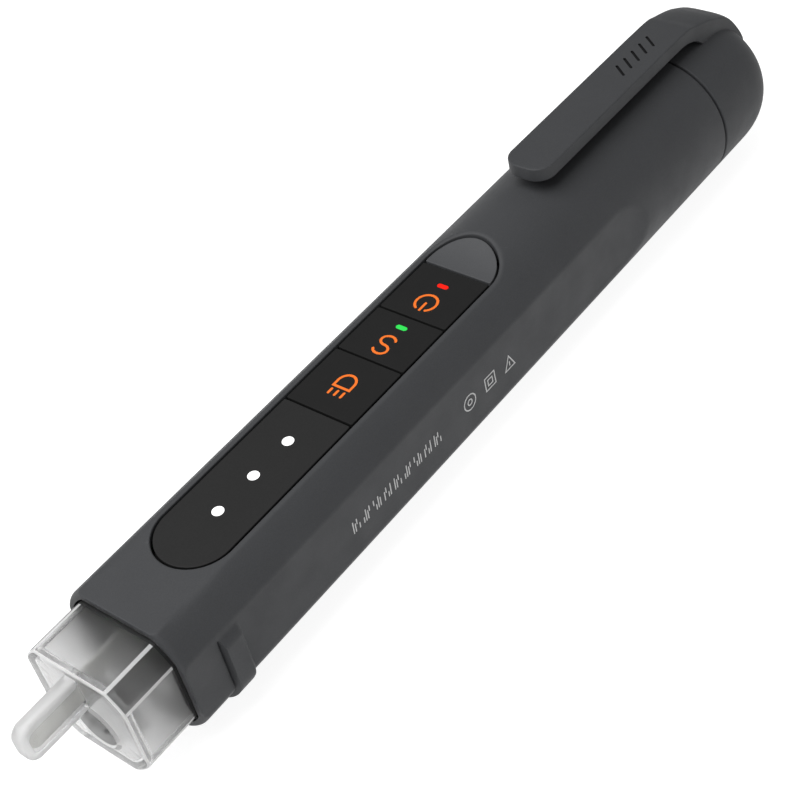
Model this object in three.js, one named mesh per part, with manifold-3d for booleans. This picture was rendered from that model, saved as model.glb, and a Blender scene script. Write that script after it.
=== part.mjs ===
// Non contact voltage tester: a pen-sized plastic tube with a clear sensing tip, a torch, three keys
// and a pull-off tail cap with a pocket clip. Two AAA cells lie in line inside.
//
// Millimetres. While it is being built the pen lies along X: x = 0 is the front edge of the housing,
// the tip points to -X, the key side faces +Z and the marked side faces -Y. The last lines move it so
// that the origin is under the middle of its box.
import * as THREE from "three";
import { mergeVertices } from "three/addons/utils/BufferGeometryUtils.js";
import Module from "manifold-3d";

// ---- Driving dimensions ----
const BODY_R = 11.3;
const TOP_FLAT = 9.14; // facet heights above the pen's axis
const SIDE_FLAT = 10.12;
// Each facet ends in an arc that climbs to the full radius.
const TOP_RUNOUT = { x: 68.2, r: 13 };
const SIDE_RUNOUT = { x: 93.2, r: 16.5 };
const HOUSING_END = 121.88;
const RIM_FILLET = 0.9;
const FIT = 0.3; // clearance between neighbours
const TIDY = 0.01; // the slivers that joining and cutting leave are merged within this distance
const SEAM = 0.32; // visible seam round and between the keys

// The mouth of the housing, and the bore behind it
const MOUTH_R = 10.26;
const MOUTH_TOP = 8.29;
const MOUTH_SIDE = 8.95;
const REAR_BORE_R = 10.15;
const REAR_BORE_X = 99.5;

// The slot in the key side, filled by panel, keys and thumb rest
const SLOT_HALF = 5.95;
const SLOT_FRONT = 8.85;
const SLOT_REAR = 75.05;
const PANEL_END = 38.35;
const TORCH_KEY_END = 49.2;
const SENSE_KEY_END = 58.5;
const POWER_KEY_END = 68.95;
const INSERT_BOTTOM = 8.45;
const INSERT_DROP = 0.08; // the insert lies this far under the facet
const NECK_INSET = 0.9; // the insert's neck is this much narrower than its top
const FLANGE_HALF = 6.6;
const FLANGE_Z = [6.4, 6.9];
const FLANGE_END_GAP = 2.5; // neck and flange stop short of the slot's round ends

// Light dots, key lights
const DOT_X = [18.7, 25.5, 32.3];
const DOT_R = 0.9;
const SENSE_LIGHT_X = 56.3;
const POWER_LIGHT_X = 65.7;
const LIGHT_LONG = 1.8;
const LIGHT_SHORT = 0.75;
const LIGHT_CUT = 0.25;
const CLEARANCE = 0.06; // round a light in its hole

// Finger guard, moulded on the housing
const GUARD_X = [5.9, 9.4];
const GUARD_SIDE = 10.97;
const GUARD_CORNER_R = 11.95;
const GUARD_TOP_Z = 4.2;
const GUARD_SLOPE_Z = 2.2;

// Clear head with its hollow probe blade and torch aperture
const HEAD_R = 9.98;
const HEAD_TOP = 7.8;
const HEAD_SIDE = 8.66;
const HEAD_FRONT = -8.5;
const HEAD_BACK = 8.3;
const HEAD_WALL = 1.2;
const HEAD_FILLET = 0.5;
const BLADE_HALF = 1.05;
const BLADE_Z = [1.15, 6.8];
const BLADE_TIP = -17.9;
const BLADE_CORNER = 1.9;
const BLADE_SIDE_WALL = 0.5;
const BLADE_EDGE_WALL = 0.85;
const TORCH_Z = -3.2;
const TORCH_R = 3.3;
const COLLAR_WALL = 0.8;
const COLLAR_BACK = -4.4;

// Torch lamp
const LAMP_R = 2.5;
const LAMP_L = 8.6;
const LAMP_RIM_R = 2.9;
const LEAD_W = 0.5;
const LEAD_Y = 1.27;
const LEAD_BEND_X = [2.9, 3.4];
const ELECTRODE_HALF = 0.22;

// Electronics
const BOARD_Z = [3.3, 4.3];
const BOARD_X = [1.5, 72];
const BOARD_HALF = 8.2;
const BOARD_NOSE_HALF = 6.7;
const BOARD_NOSE_L = 7.4;
const BOARD_NOSE_SLOPE = 1.2;
const SOLDER = 0.05; // parts stand this far off the board
const SWITCH_H = 1.4;
const SWITCH_SIZE = 4.5;
const SWITCH_BACK = 1.2; // a lit key's switch sits this far in front of its middle
const PLUNGER_R = 1.05;
const PLUNGER_SINK = 0.75;
const LAMP_H = 0.8;
const MICRO = { x: [20.6, 23.4], y: [3.2, 7.2], h: 1 };
const ALARM_LED = { x: [2.2, 4.2], y: [2.4, 5.4], h: 0.9 };
const BUZZER = { x: 15, r: 5.5, h: 5, holeR: 1, holeH: 1 };

// Cells and their cradle
const CELL_R = 5.25;
const CELL_L = 44.3;
const CELL_Z = -2.6;
const CELL_X = 26;
const CELL_NUB = { r: 1.9, h: 0.9 };
const CELL_EDGE = 0.5;
const CRADLE_X = [24, 114.2];
const CRADLE_R = 9.85;
const CRADLE_FLAT = 8.65;
const CRADLE_TOP = 3.05;
const CRADLE_SHELL = 0.6;
const RIB_W = 1.4;
const RIB_X = [CRADLE_X[0], 46.6, 69.2, 91.8, CRADLE_X[1] - RIB_W];

// Contacts
const SHEET = 0.3;
const FRONT_CONTACT = { x: 25.45, half: 4, low: -5.6, high: 1.4, tabHalf: 0.9 };
const STRIP = { x: 60, y: 7.6, z: [0.9, 2.7], tabEnd: 64 };

// Tail cap and pocket clip
const CAP_START = HOUSING_END + 0.5;
const CAP_DOME_X = 130;
const CAP_END = 140.3;
const CAP_DOME_POWER = 2.5;
const CAP_WALL_END = 2.2;
const CAVITY_R = 8;
const SPIGOT_START = 115;
const SPIGOT_R = 9.85;
const SPIGOT_WALL = 1.1;
const CLIP_TIP = 86.1;
const CLIP_JOINT_X = 125;
const CLIP_HALF = 3.72;
const CLIP_Z = [13.18, 15.35];
const CLIP_CORNER = 2.8;
const CLIP_EDGE = 0.3;
// The clip's top line goes on over the dome as a low band, through these [x, z] points from its end.
const BAND_END = [139.1, 2.6];
const BAND = [
  [139.85, 5.6],
  [138.4, 8.4],
  [136.2, 11.3],
  [133, 13.05],
  [131.2, 13.8],
  [129.4, 14.35],
  [127.3, 14.85],
];
// The hollow under the clip's root, from the clip to the dome.
const ROOT_HOLLOW = [[127, 12.3], [128.1, 11.2], [128.4, 10]];
const ROOT_FOOT = [[130, 8], [138.6, 3]];

// Tail contact
const PLATE_R = 8.3;
const PLATE_T = 0.4;
const SPRING = { turns: 3.5, wireR: 0.4, r: [2.2, 4.4] };

// ---- Small kit ----
const wasm = await Module();
wasm.setup();
const { Manifold, Mesh } = wasm;

// A three.js geometry as a solid for joining and cutting, with its faces turned outwards.
function solid(geometry) {
  const bare = new THREE.BufferGeometry();
  bare.setAttribute("position", geometry.getAttribute("position"));
  bare.setIndex(geometry.index);
  const merged = mergeVertices(bare, 1e-4);
  const triangles = [];
  for (let i = 0; i < merged.index.count; i += 3) {
    const [a, b, c] = merged.index.array.slice(i, i + 3);
    if (a !== b && b !== c && c !== a) triangles.push([a, b, c]);
  }
  const build = (corners) =>
    new Manifold(
      new Mesh({
        numProp: 3,
        vertProperties: merged.getAttribute("position").array,
        triVerts: new Uint32Array(corners.flat()),
      }),
    );
  const made = build(triangles);
  return made.volume() > 0 ? made : build(triangles.map(([a, b, c]) => [a, c, b]));
}

function geometryOf(body) {
  const mesh = body.getMesh();
  const position = new Float32Array(mesh.numVert * 3);
  for (let i = 0; i < mesh.numVert; i++) {
    position.set(mesh.vertProperties.subarray(i * mesh.numProp, i * mesh.numProp + 3), i * 3);
  }
  const geometry = new THREE.BufferGeometry();
  geometry.setAttribute("position", new THREE.BufferAttribute(position, 3));
  geometry.setIndex(new THREE.BufferAttribute(mesh.triVerts, 1));
  geometry.computeVertexNormals();
  return geometry;
}

// An outline in the Y-Z plane, extruded along X.
const ALONG_X = new THREE.Matrix4().makeBasis(
  new THREE.Vector3(0, 1, 0),
  new THREE.Vector3(0, 0, 1),
  new THREE.Vector3(1, 0, 0),
);
// An outline in the X-Z plane, extruded along Y.
const ALONG_Y = new THREE.Matrix4().makeBasis(
  new THREE.Vector3(1, 0, 0),
  new THREE.Vector3(0, 0, 1),
  new THREE.Vector3(0, -1, 0),
);

function shapeOf(points) {
  return new THREE.Shape(points.map(([u, v]) => new THREE.Vector2(u, v)));
}

function extrude(shape, depth, bevel = 0) {
  return new THREE.ExtrudeGeometry(shape, {
    depth: depth - 2 * bevel,
    steps: 1,
    curveSegments: 24,
    bevelEnabled: bevel > 0,
    bevelThickness: bevel,
    bevelSize: bevel,
    bevelOffset: -bevel,
    bevelSegments: 2,
  }).translate(0, 0, bevel);
}

function alongX(shape, x0, x1, bevel) {
  return solid(extrude(shape, x1 - x0, bevel).applyMatrix4(ALONG_X).translate(x0, 0, 0));
}

function alongY(shape, half, bevel) {
  return solid(extrude(shape, 2 * half, bevel).applyMatrix4(ALONG_Y).translate(0, half, 0));
}

function alongZ(shape, z0, z1, bevel) {
  return solid(extrude(shape, z1 - z0, bevel).translate(0, 0, z0));
}

function box(x0, x1, y0, y1, z0, z1) {
  const geometry = new THREE.BoxGeometry(x1 - x0, y1 - y0, z1 - z0);
  return solid(geometry.translate((x0 + x1) / 2, (y0 + y1) / 2, (z0 + z1) / 2));
}

// A profile of [x, radius] points that starts and ends on the axis, turned about X at height z.
function turned(profile, z = 0, segments = 64) {
  const points = profile.map(([x, r]) => new THREE.Vector2(r, x));
  const geometry = new THREE.LatheGeometry(points, segments);
  return solid(geometry.rotateZ(-Math.PI / 2).translate(0, 0, z));
}

function rod(x0, x1, r, z = 0, segments = 64) {
  return turned([[x0, 0], [x0, r], [x1, r], [x1, 0]], z, segments);
}

function pin(x, y, z0, z1, r, segments = 20) {
  const geometry = new THREE.CylinderGeometry(r, r, z1 - z0, segments).rotateX(Math.PI / 2);
  return solid(geometry.translate(x, y, (z0 + z1) / 2));
}

// A circle with four flats: top, both sides and bottom. Where two flats meet, the corner is sharp.
function facetedCircle(r, top, side, bottom = side) {
  const quarter = (height) => {
    const sideAngle = Math.acos(Math.min(1, side / r));
    const heightAngle = Math.asin(Math.min(1, height / r));
    if (sideAngle >= heightAngle) return [[side, height]];
    const points = [];
    for (let i = 0; i <= 8; i++) {
      const angle = sideAngle + ((heightAngle - sideAngle) * i) / 8;
      points.push([r * Math.cos(angle), r * Math.sin(angle)]);
    }
    return points;
  };
  const upper = quarter(top);
  const lower = quarter(bottom);
  return shapeOf([
    ...upper,
    ...upper.map(([y, z]) => [-y, z]).reverse(),
    ...lower.map(([y, z]) => [-y, -z]),
    ...lower.map(([y, z]) => [y, -z]).reverse(),
  ]);
}

// Cuts away all that lies above a facet: flat up to the run-out, then an arc that climbs away.
function facetCutter(height, runout) {
  const rise = BODY_R - height + 1;
  const reach = Math.acos(1 - rise / runout.r);
  const points = [[-1, height]];
  for (let i = 0; i <= 10; i++) {
    const angle = (reach * i) / 10;
    points.push([
      runout.x + runout.r * Math.sin(angle),
      height + runout.r * (1 - Math.cos(angle)),
    ]);
  }
  points.push([-1, height + rise]);
  return alongY(shapeOf(points), BODY_R + 1);
}

// The outline of the slot in plan, drawn smaller by inset: straight sides and two half-round ends.
function slotOutline(inset) {
  const r = SLOT_HALF - inset;
  const shape = new THREE.Shape();
  shape.absarc(SLOT_FRONT + SLOT_HALF, 0, r, Math.PI / 2, Math.PI * 1.5, false);
  shape.absarc(SLOT_REAR - SLOT_HALF, 0, r, -Math.PI / 2, Math.PI / 2, false);
  return shape;
}

// ---- Object ----
const pen = new THREE.Group();
pen.name = "pen";

const COLOURS = {
  housing: 0x4a4b4d,
  dark: 0x2a2a2a,
  clear: 0xb8b8b4,
  white: 0xf4f4f2,
  metal: 0xb9a36a,
  steel: 0xb0b2b4,
  board: 0x1f5a35,
  red: 0xff1e0a,
  green: 0x32e65a,
  cell: 0x3a4a5c,
  cradle: 0x202022,
};

function add(name, body, colour) {
  const material = new THREE.MeshStandardMaterial({ color: COLOURS[colour], roughness: 0.6 });
  const mesh = new THREE.Mesh(geometryOf(body.simplify(TIDY)), material);
  mesh.name = name;
  pen.add(mesh);
}

// ---- Housing: one moulded tube with its finger guard ----
function buildHousing() {
  const bevel = RIM_FILLET;
  const outer = turned([
    [0, 0],
    [0, BODY_R - bevel],
    [bevel * 0.3, BODY_R - bevel * 0.3],
    [bevel, BODY_R],
    [HOUSING_END, BODY_R],
    [HOUSING_END, 0],
  ], 0, 96);
  const sideCut = facetCutter(SIDE_FLAT, SIDE_RUNOUT);
  const tube = outer
    .subtract(facetCutter(TOP_FLAT, TOP_RUNOUT))
    .subtract(sideCut.rotate([180, 0, 0]))
    .subtract(sideCut.rotate([-90, 0, 0]))
    .subtract(sideCut.rotate([90, 0, 0]));

  // The guard wraps the underside and both sides, and slopes away at its two upper ends.
  const guardOutline = facetedCircle(GUARD_CORNER_R, GUARD_TOP_Z, GUARD_SIDE, BODY_R);
  const guardTrim = (sign) =>
    alongX(
      shapeOf([
        [sign * SIDE_FLAT, GUARD_TOP_Z + 0.1],
        [sign * (GUARD_SIDE + 0.1), GUARD_SLOPE_Z],
        [sign * (GUARD_SIDE + 2), GUARD_SLOPE_Z],
        [sign * (GUARD_SIDE + 2), GUARD_TOP_Z + 0.1],
      ]),
      GUARD_X[0] - 1,
      GUARD_X[1] + 1,
    );
  const guard = alongX(guardOutline, GUARD_X[0], GUARD_X[1], 0.35)
    .subtract(guardTrim(1))
    .subtract(guardTrim(-1));

  const bore = alongX(facetedCircle(MOUTH_R, MOUTH_TOP, MOUTH_SIDE), -1, REAR_BORE_X);
  const rearBore = rod(REAR_BORE_X - 0.5, HOUSING_END + 1, REAR_BORE_R, 0, 96);
  const slot = alongZ(slotOutline(0), 0, BODY_R + 2);
  return tube.add(guard).subtract(bore).subtract(rearBore).subtract(slot);
}
add("housing", buildHousing(), "housing");

// ---- Clear head: lens, hollow probe blade and the collar round the torch ----
function bladeOutline(inset, rootX = HEAD_FRONT + 1) {
  const [low, high] = [BLADE_Z[0] + inset, BLADE_Z[1] - inset];
  const tip = BLADE_TIP + inset;
  const r = BLADE_CORNER - inset / 2;
  const shape = new THREE.Shape();
  shape.moveTo(rootX, low);
  shape.lineTo(rootX, high);
  shape.lineTo(tip + r, high);
  shape.absarc(tip + r, high - r, r, Math.PI / 2, Math.PI, false);
  shape.absarc(tip + r, low + r, r, Math.PI, Math.PI * 1.5, false);
  return shape;
}

function buildHead() {
  const section = facetedCircle(HEAD_R, HEAD_TOP, HEAD_SIDE);
  const outer = alongX(section, HEAD_FRONT, HEAD_BACK, HEAD_FILLET);
  const blade = alongY(bladeOutline(0), BLADE_HALF, 0.25);
  const inner = facetedCircle(
    HEAD_R - HEAD_WALL,
    HEAD_TOP - HEAD_WALL,
    HEAD_SIDE - HEAD_WALL,
  );
  const hollow = alongX(inner, HEAD_FRONT + HEAD_WALL, HEAD_BACK + 1);
  const bladeHollow = alongY(
    bladeOutline(BLADE_EDGE_WALL, HEAD_FRONT + HEAD_WALL + 0.5),
    BLADE_HALF - BLADE_SIDE_WALL,
  );
  const collar = rod(HEAD_FRONT + 0.3, COLLAR_BACK, TORCH_R + COLLAR_WALL, TORCH_Z, 40);
  const aperture = rod(HEAD_FRONT - 1, 0, TORCH_R, TORCH_Z, 40);
  return outer
    .add(blade)
    .subtract(hollow)
    .add(collar)
    .subtract(bladeHollow)
    .subtract(aperture);
}
add("clear_head", buildHead(), "clear");

// The sensing plate reaches from the board into the blade.
const electrodeInset = BLADE_EDGE_WALL + FIT;
add(
  "sensor_electrode",
  alongY(bladeOutline(electrodeInset), ELECTRODE_HALF).add(
    box(
      HEAD_FRONT,
      BOARD_X[0] - FIT,
      -ELECTRODE_HALF,
      ELECTRODE_HALF,
      BLADE_Z[0] + electrodeInset,
      BLADE_Z[1] - electrodeInset,
    ),
  ),
  "metal",
);

// ---- Torch lamp: a round 5 mm lamp with two leads bent up to the board ----
function buildTorchLamp() {
  const tip = HEAD_FRONT + 0.9;
  const back = tip + LAMP_L;
  const profile = [[tip, 0]];
  for (let i = 1; i <= 8; i++) {
    const angle = (Math.PI / 2) * (i / 8);
    profile.push([tip + LAMP_R * (1 - Math.cos(angle)), LAMP_R * Math.sin(angle)]);
  }
  profile.push([back - 1, LAMP_R], [back - 1, LAMP_RIM_R], [back, LAMP_RIM_R], [back, 0]);
  const lead = (y) => {
    const [y0, y1] = [y - LEAD_W / 2, y + LEAD_W / 2];
    const low = TORCH_Z - LEAD_W / 2;
    return box(back - 0.2, LEAD_BEND_X[1], y0, y1, low, low + LEAD_W).add(
      box(...LEAD_BEND_X, y0, y1, low, BOARD_Z[0] - FIT),
    );
  };
  return turned(profile, TORCH_Z, 32).add(lead(LEAD_Y)).add(lead(-LEAD_Y));
}
add("torch_led", buildTorchLamp(), "clear");

// ---- Insert: panel, three keys and thumb rest, all cut from one slab that fills the slot ----
const slab = alongZ(slotOutline(SEAM), INSERT_BOTTOM, BODY_R + 1)
  .subtract(facetCutter(TOP_FLAT - INSERT_DROP, TOP_RUNOUT))
  .intersect(rod(0, HOUSING_END, BODY_R - INSERT_DROP, 0, 96));

function insertPiece(x0, x1) {
  const top = slab.intersect(box(x0, x1, -SLOT_HALF, SLOT_HALF, INSERT_BOTTOM - 1, BODY_R + 2));
  const neckOutline = slotOutline(SEAM + NECK_INSET);
  const neck = alongZ(neckOutline, FLANGE_Z[1] - 0.1, INSERT_BOTTOM + 0.1).intersect(
    box(x0 + 0.5, x1 - 0.5, -SLOT_HALF, SLOT_HALF, 0, BODY_R),
  );
  const flange = box(x0 + FIT, x1 - FIT, -FLANGE_HALF, FLANGE_HALF, ...FLANGE_Z);
  const [frontEnd, rearEnd] = [SLOT_FRONT + FLANGE_END_GAP, SLOT_REAR - FLANGE_END_GAP];
  const kept = box(frontEnd, rearEnd, -BODY_R, BODY_R, 0, BODY_R);
  return top.add(neck.add(flange).intersect(kept));
}

const windowTop = TOP_FLAT - INSERT_DROP + 0.04;
const lampBase = BOARD_Z[1] + SOLDER;
const lampTop = lampBase + LAMP_H;
let panel = insertPiece(SLOT_FRONT, PANEL_END - SEAM / 2);
DOT_X.forEach((x, i) => {
  panel = panel.subtract(pin(x, 0, 0, BODY_R, DOT_R + CLEARANCE));
  add(`light_pipe_${i + 1}`, pin(x, 0, lampTop + FIT, windowTop, DOT_R), "white");
  add(`indicator_led_${i + 1}`, box(x - 0.8, x + 0.8, -0.5, 0.5, lampBase, lampTop), "white");
});
add("indicator_panel", panel, "dark");

// A bar with cut corners: the light in a key, or, grown by the clearance, the hole it stands in.
function lightWindow(x, z0, z1, grow = 0) {
  const half = LIGHT_SHORT / 2 + grow;
  const reach = LIGHT_LONG / 2 + grow;
  const corners = [
    [half, reach - LIGHT_CUT],
    [half - LIGHT_CUT, reach],
  ];
  const side = [...corners, ...corners.map(([u, v]) => [-u, v]).reverse()];
  const outline = [...side, ...side.map(([u, v]) => [-u, -v])];
  return alongZ(shapeOf(outline.map(([u, v]) => [x + u, v])), z0, z1);
}

function addKey(name, x0, x1, lightX, lightColour) {
  const centre = (x0 + x1) / 2;
  const switchX = lightX ? centre - SWITCH_BACK : centre;
  const switchTop = lampBase + SWITCH_H;
  let key = insertPiece(x0 + SEAM / 2, x1 - SEAM / 2);
  if (lightX) {
    key = key.subtract(lightWindow(lightX, FLANGE_Z[0] - 1, BODY_R, CLEARANCE));
    add(`${name}_light`, lightWindow(lightX, FLANGE_Z[0], windowTop), lightColour);
    add(`${name}_led`, box(lightX - 0.5, lightX + 0.5, -0.8, 0.8, lampBase, lampTop), "white");
  }
  add(`${name}_key`, key, "dark");
  const half = SWITCH_SIZE / 2;
  const well = pin(switchX, 0, lampBase + 0.1, switchTop + 1, PLUNGER_R + 0.15);
  const switchCase = box(switchX - half, switchX + half, -half, half, lampBase, switchTop);
  add(`${name}_switch`, switchCase.subtract(well), "steel");
  const plunger = pin(switchX, 0, switchTop - PLUNGER_SINK, FLANGE_Z[0] - FIT, PLUNGER_R);
  add(`${name}_plunger`, plunger, "dark");
}
addKey("torch", PANEL_END, TORCH_KEY_END);
addKey("sensitivity", TORCH_KEY_END, SENSE_KEY_END, SENSE_LIGHT_X, "green");
addKey("power", SENSE_KEY_END, POWER_KEY_END, POWER_LIGHT_X, "red");

add("thumb_rest", insertPiece(POWER_KEY_END + SEAM / 2, SLOT_REAR), "housing");

// ---- Electronics on one board ----
const nose = BOARD_X[0] + BOARD_NOSE_L;
const boardOutline = shapeOf([
  [BOARD_X[0], -BOARD_NOSE_HALF],
  [nose, -BOARD_NOSE_HALF],
  [nose + BOARD_NOSE_SLOPE, -BOARD_HALF],
  [BOARD_X[1], -BOARD_HALF],
  [BOARD_X[1], BOARD_HALF],
  [nose + BOARD_NOSE_SLOPE, BOARD_HALF],
  [nose, BOARD_NOSE_HALF],
  [BOARD_X[0], BOARD_NOSE_HALF],
]);
add("circuit_board", alongZ(boardOutline, BOARD_Z[0], BOARD_Z[1]), "board");

add("microcontroller", box(...MICRO.x, ...MICRO.y, lampBase, lampBase + MICRO.h), "dark");
add("alarm_led", box(...ALARM_LED.x, ...ALARM_LED.y, lampBase, lampBase + ALARM_LED.h), "white");
const buzzerLow = BOARD_Z[0] - SOLDER - BUZZER.h;
const buzzer = pin(BUZZER.x, 0, buzzerLow, buzzerLow + BUZZER.h, BUZZER.r, 40);
const soundHole = pin(BUZZER.x, 0, buzzerLow - 1, buzzerLow + BUZZER.holeH, BUZZER.holeR);
add("buzzer", buzzer.subtract(soundHole), "dark");

// ---- Cells, cradle and contacts ----
function buildCell(x0) {
  const [shoulder, end] = [x0 + CELL_NUB.h, x0 + CELL_L];
  return turned([
    [x0, 0],
    [x0, CELL_NUB.r],
    [shoulder, CELL_NUB.r],
    [shoulder, CELL_R - CELL_EDGE],
    [shoulder + CELL_EDGE, CELL_R],
    [end - CELL_EDGE, CELL_R],
    [end, CELL_R - CELL_EDGE],
    [end, 0],
  ], CELL_Z, 40);
}
add("cell_front", buildCell(CELL_X), "cell");
add("cell_rear", buildCell(CELL_X + CELL_L + FIT), "cell");

function buildCradle() {
  const section = facetedCircle(CRADLE_R, CRADLE_TOP, CRADLE_FLAT);
  const ribs = RIB_X.map((x) => alongX(section, x, x + RIB_W));
  const trough = rod(...CRADLE_X, CELL_R + FIT + CRADLE_SHELL, CELL_Z, 40).intersect(
    box(0, HOUSING_END, -BODY_R, BODY_R, -CRADLE_FLAT, CELL_Z),
  );
  const bed = rod(CRADLE_X[0] + RIB_W, CRADLE_X[1] + 1, CELL_R + FIT, CELL_Z, 40);
  const stripNotch = box(RIB_X[1] - 1, HOUSING_END, STRIP.y - 0.4, BODY_R, STRIP.z[0] - FIT, BODY_R);
  const tabHalf = FRONT_CONTACT.tabHalf + FIT;
  const tabNotch = box(0, CRADLE_X[0] + 2, -tabHalf, tabHalf, CELL_Z + 3, BODY_R);
  return ribs
    .reduce((body, rib) => body.add(rib), trough)
    .subtract(bed)
    .subtract(stripNotch)
    .subtract(tabNotch);
}
add("cell_cradle", buildCradle(), "cradle");

// The front contact: a plate on the cradle's front wall with a tab up to the board.
function buildFrontContact() {
  const { x, half, low, high, tabHalf } = FRONT_CONTACT;
  const plate = box(x, x + SHEET, -half, half, low, high);
  return plate.add(box(x, x + SHEET, -tabHalf, tabHalf, high - 1, BOARD_Z[0] - FIT));
}
add("front_contact", buildFrontContact(), "metal");

// The strip brings the tail contact forward to the board.
function buildReturnStrip() {
  const { x, y, z, tabEnd } = STRIP;
  const strip = box(x, SPIGOT_START - FIT, y, y + SHEET, ...z);
  return strip.add(box(x, tabEnd, y, y + SHEET, z[1] - 0.2, BOARD_Z[0] - FIT));
}
add("return_strip", buildReturnStrip(), "metal");

// ---- Tail cap: dome, spigot and the root of the clip ----
const capLedge = CAP_START + 1.4;

function domeProfile(startX, endX, r) {
  const points = [];
  for (let i = 0; i <= 14; i++) {
    const angle = (Math.PI / 2) * (i / 14);
    const power = 2 / CAP_DOME_POWER;
    points.push([
      startX + (endX - startX) * Math.pow(Math.sin(angle), power),
      r * Math.pow(Math.max(0, Math.cos(angle)), power),
    ]);
  }
  points[points.length - 1][1] = 0;
  return points;
}

// The clip's root rises from the dome and runs on over it.
function clipRootOutline() {
  const smooth = (points, steps) =>
    new THREE.SplineCurve(points.map(([x, z]) => new THREE.Vector2(x, z))).getPoints(steps);
  const front = CLIP_JOINT_X + FIT;
  return new THREE.Shape([
    ...smooth([[front, CLIP_Z[0] - 0.05], ...ROOT_HOLLOW], 9),
    ...ROOT_FOOT.map(([x, z]) => new THREE.Vector2(x, z)),
    ...smooth([BAND_END, ...BAND, [front, CLIP_Z[1] - 0.06]], 24),
  ]);
}

function buildCap() {
  const outer = turned(
    [[CAP_START, 0], [CAP_START, BODY_R], ...domeProfile(CAP_DOME_X, CAP_END, BODY_R)],
    0,
    96,
  );
  const spigot = rod(SPIGOT_START, CAP_START + 0.5, SPIGOT_R, 0, 96);
  const mouth = rod(SPIGOT_START - 1, capLedge, SPIGOT_R - SPIGOT_WALL, 0, 64);
  const cavity = turned(
    [
      [capLedge - 1, 0],
      [capLedge - 1, CAVITY_R],
      ...domeProfile(CAP_DOME_X, CAP_END - CAP_WALL_END, CAVITY_R),
    ],
    0,
    64,
  );
  const root = alongY(clipRootOutline(), CLIP_HALF);
  return outer.add(root).add(spigot).subtract(mouth).subtract(cavity);
}
add("tail_cap", buildCap(), "housing");

const clipPlan = new THREE.Shape();
clipPlan.moveTo(CLIP_JOINT_X, -CLIP_HALF);
clipPlan.lineTo(CLIP_JOINT_X, CLIP_HALF);
clipPlan.lineTo(CLIP_TIP + CLIP_CORNER, CLIP_HALF);
clipPlan.absarc(
  CLIP_TIP + CLIP_CORNER,
  CLIP_HALF - CLIP_CORNER,
  CLIP_CORNER,
  Math.PI / 2,
  Math.PI,
  false,
);
clipPlan.absarc(
  CLIP_TIP + CLIP_CORNER,
  -CLIP_HALF + CLIP_CORNER,
  CLIP_CORNER,
  Math.PI,
  Math.PI * 1.5,
  false,
);
add("pocket_clip", alongZ(clipPlan, ...CLIP_Z, CLIP_EDGE), "housing");

// ---- Tail contact: a plate in the cap with a tab, and a conical spring ----
const plateX = capLedge - FIT - PLATE_T;
add(
  "tail_contact",
  rod(plateX, plateX + PLATE_T, PLATE_R, 0, 48).add(
    box(SPIGOT_START + FIT, plateX + PLATE_T / 2, STRIP.y, STRIP.y + SHEET, ...STRIP.z),
  ),
  "metal",
);

class ConeSpring extends THREE.Curve {
  getPoint(t, target = new THREE.Vector3()) {
    const x0 = CELL_X + 2 * CELL_L + 2 * FIT + SPRING.wireR;
    const x1 = plateX - FIT / 2 - SPRING.wireR;
    const r = SPRING.r[0] + (SPRING.r[1] - SPRING.r[0]) * t;
    const angle = t * SPRING.turns * 2 * Math.PI;
    return target.set(x0 + (x1 - x0) * t, r * Math.cos(angle), CELL_Z + r * Math.sin(angle));
  }
}
const wireShape = new THREE.Shape();
wireShape.absarc(0, 0, SPRING.wireR, 0, 2 * Math.PI, false);
const springGeometry = new THREE.ExtrudeGeometry(wireShape, {
  extrudePath: new ConeSpring(),
  steps: 84,
  curveSegments: 4,
  bevelEnabled: false,
});
add("tail_spring", solid(springGeometry), "steel");

// ---- Place the pen: origin under the middle of its box ----
pen.position.set(-(BLADE_TIP + CAP_END) / 2, 0, BODY_R);
const part = new THREE.Group();
part.name = "voltage_tester";
part.add(pen);

export default part;
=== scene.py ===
"""Looks of the non contact voltage tester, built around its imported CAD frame.

Lengths are millimetres in the pen's own frame unless a comment says metres: x = 0 is the housing's front
edge with the tip towards -X, y = z = 0 is the pen's axis, the keys face +Z and the marked side faces -Y.
build() turns them into the frame's metres.
"""
from math import acos, asin, atan2, cos, degrees, hypot, pi, radians, sin, sqrt, tan

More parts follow.
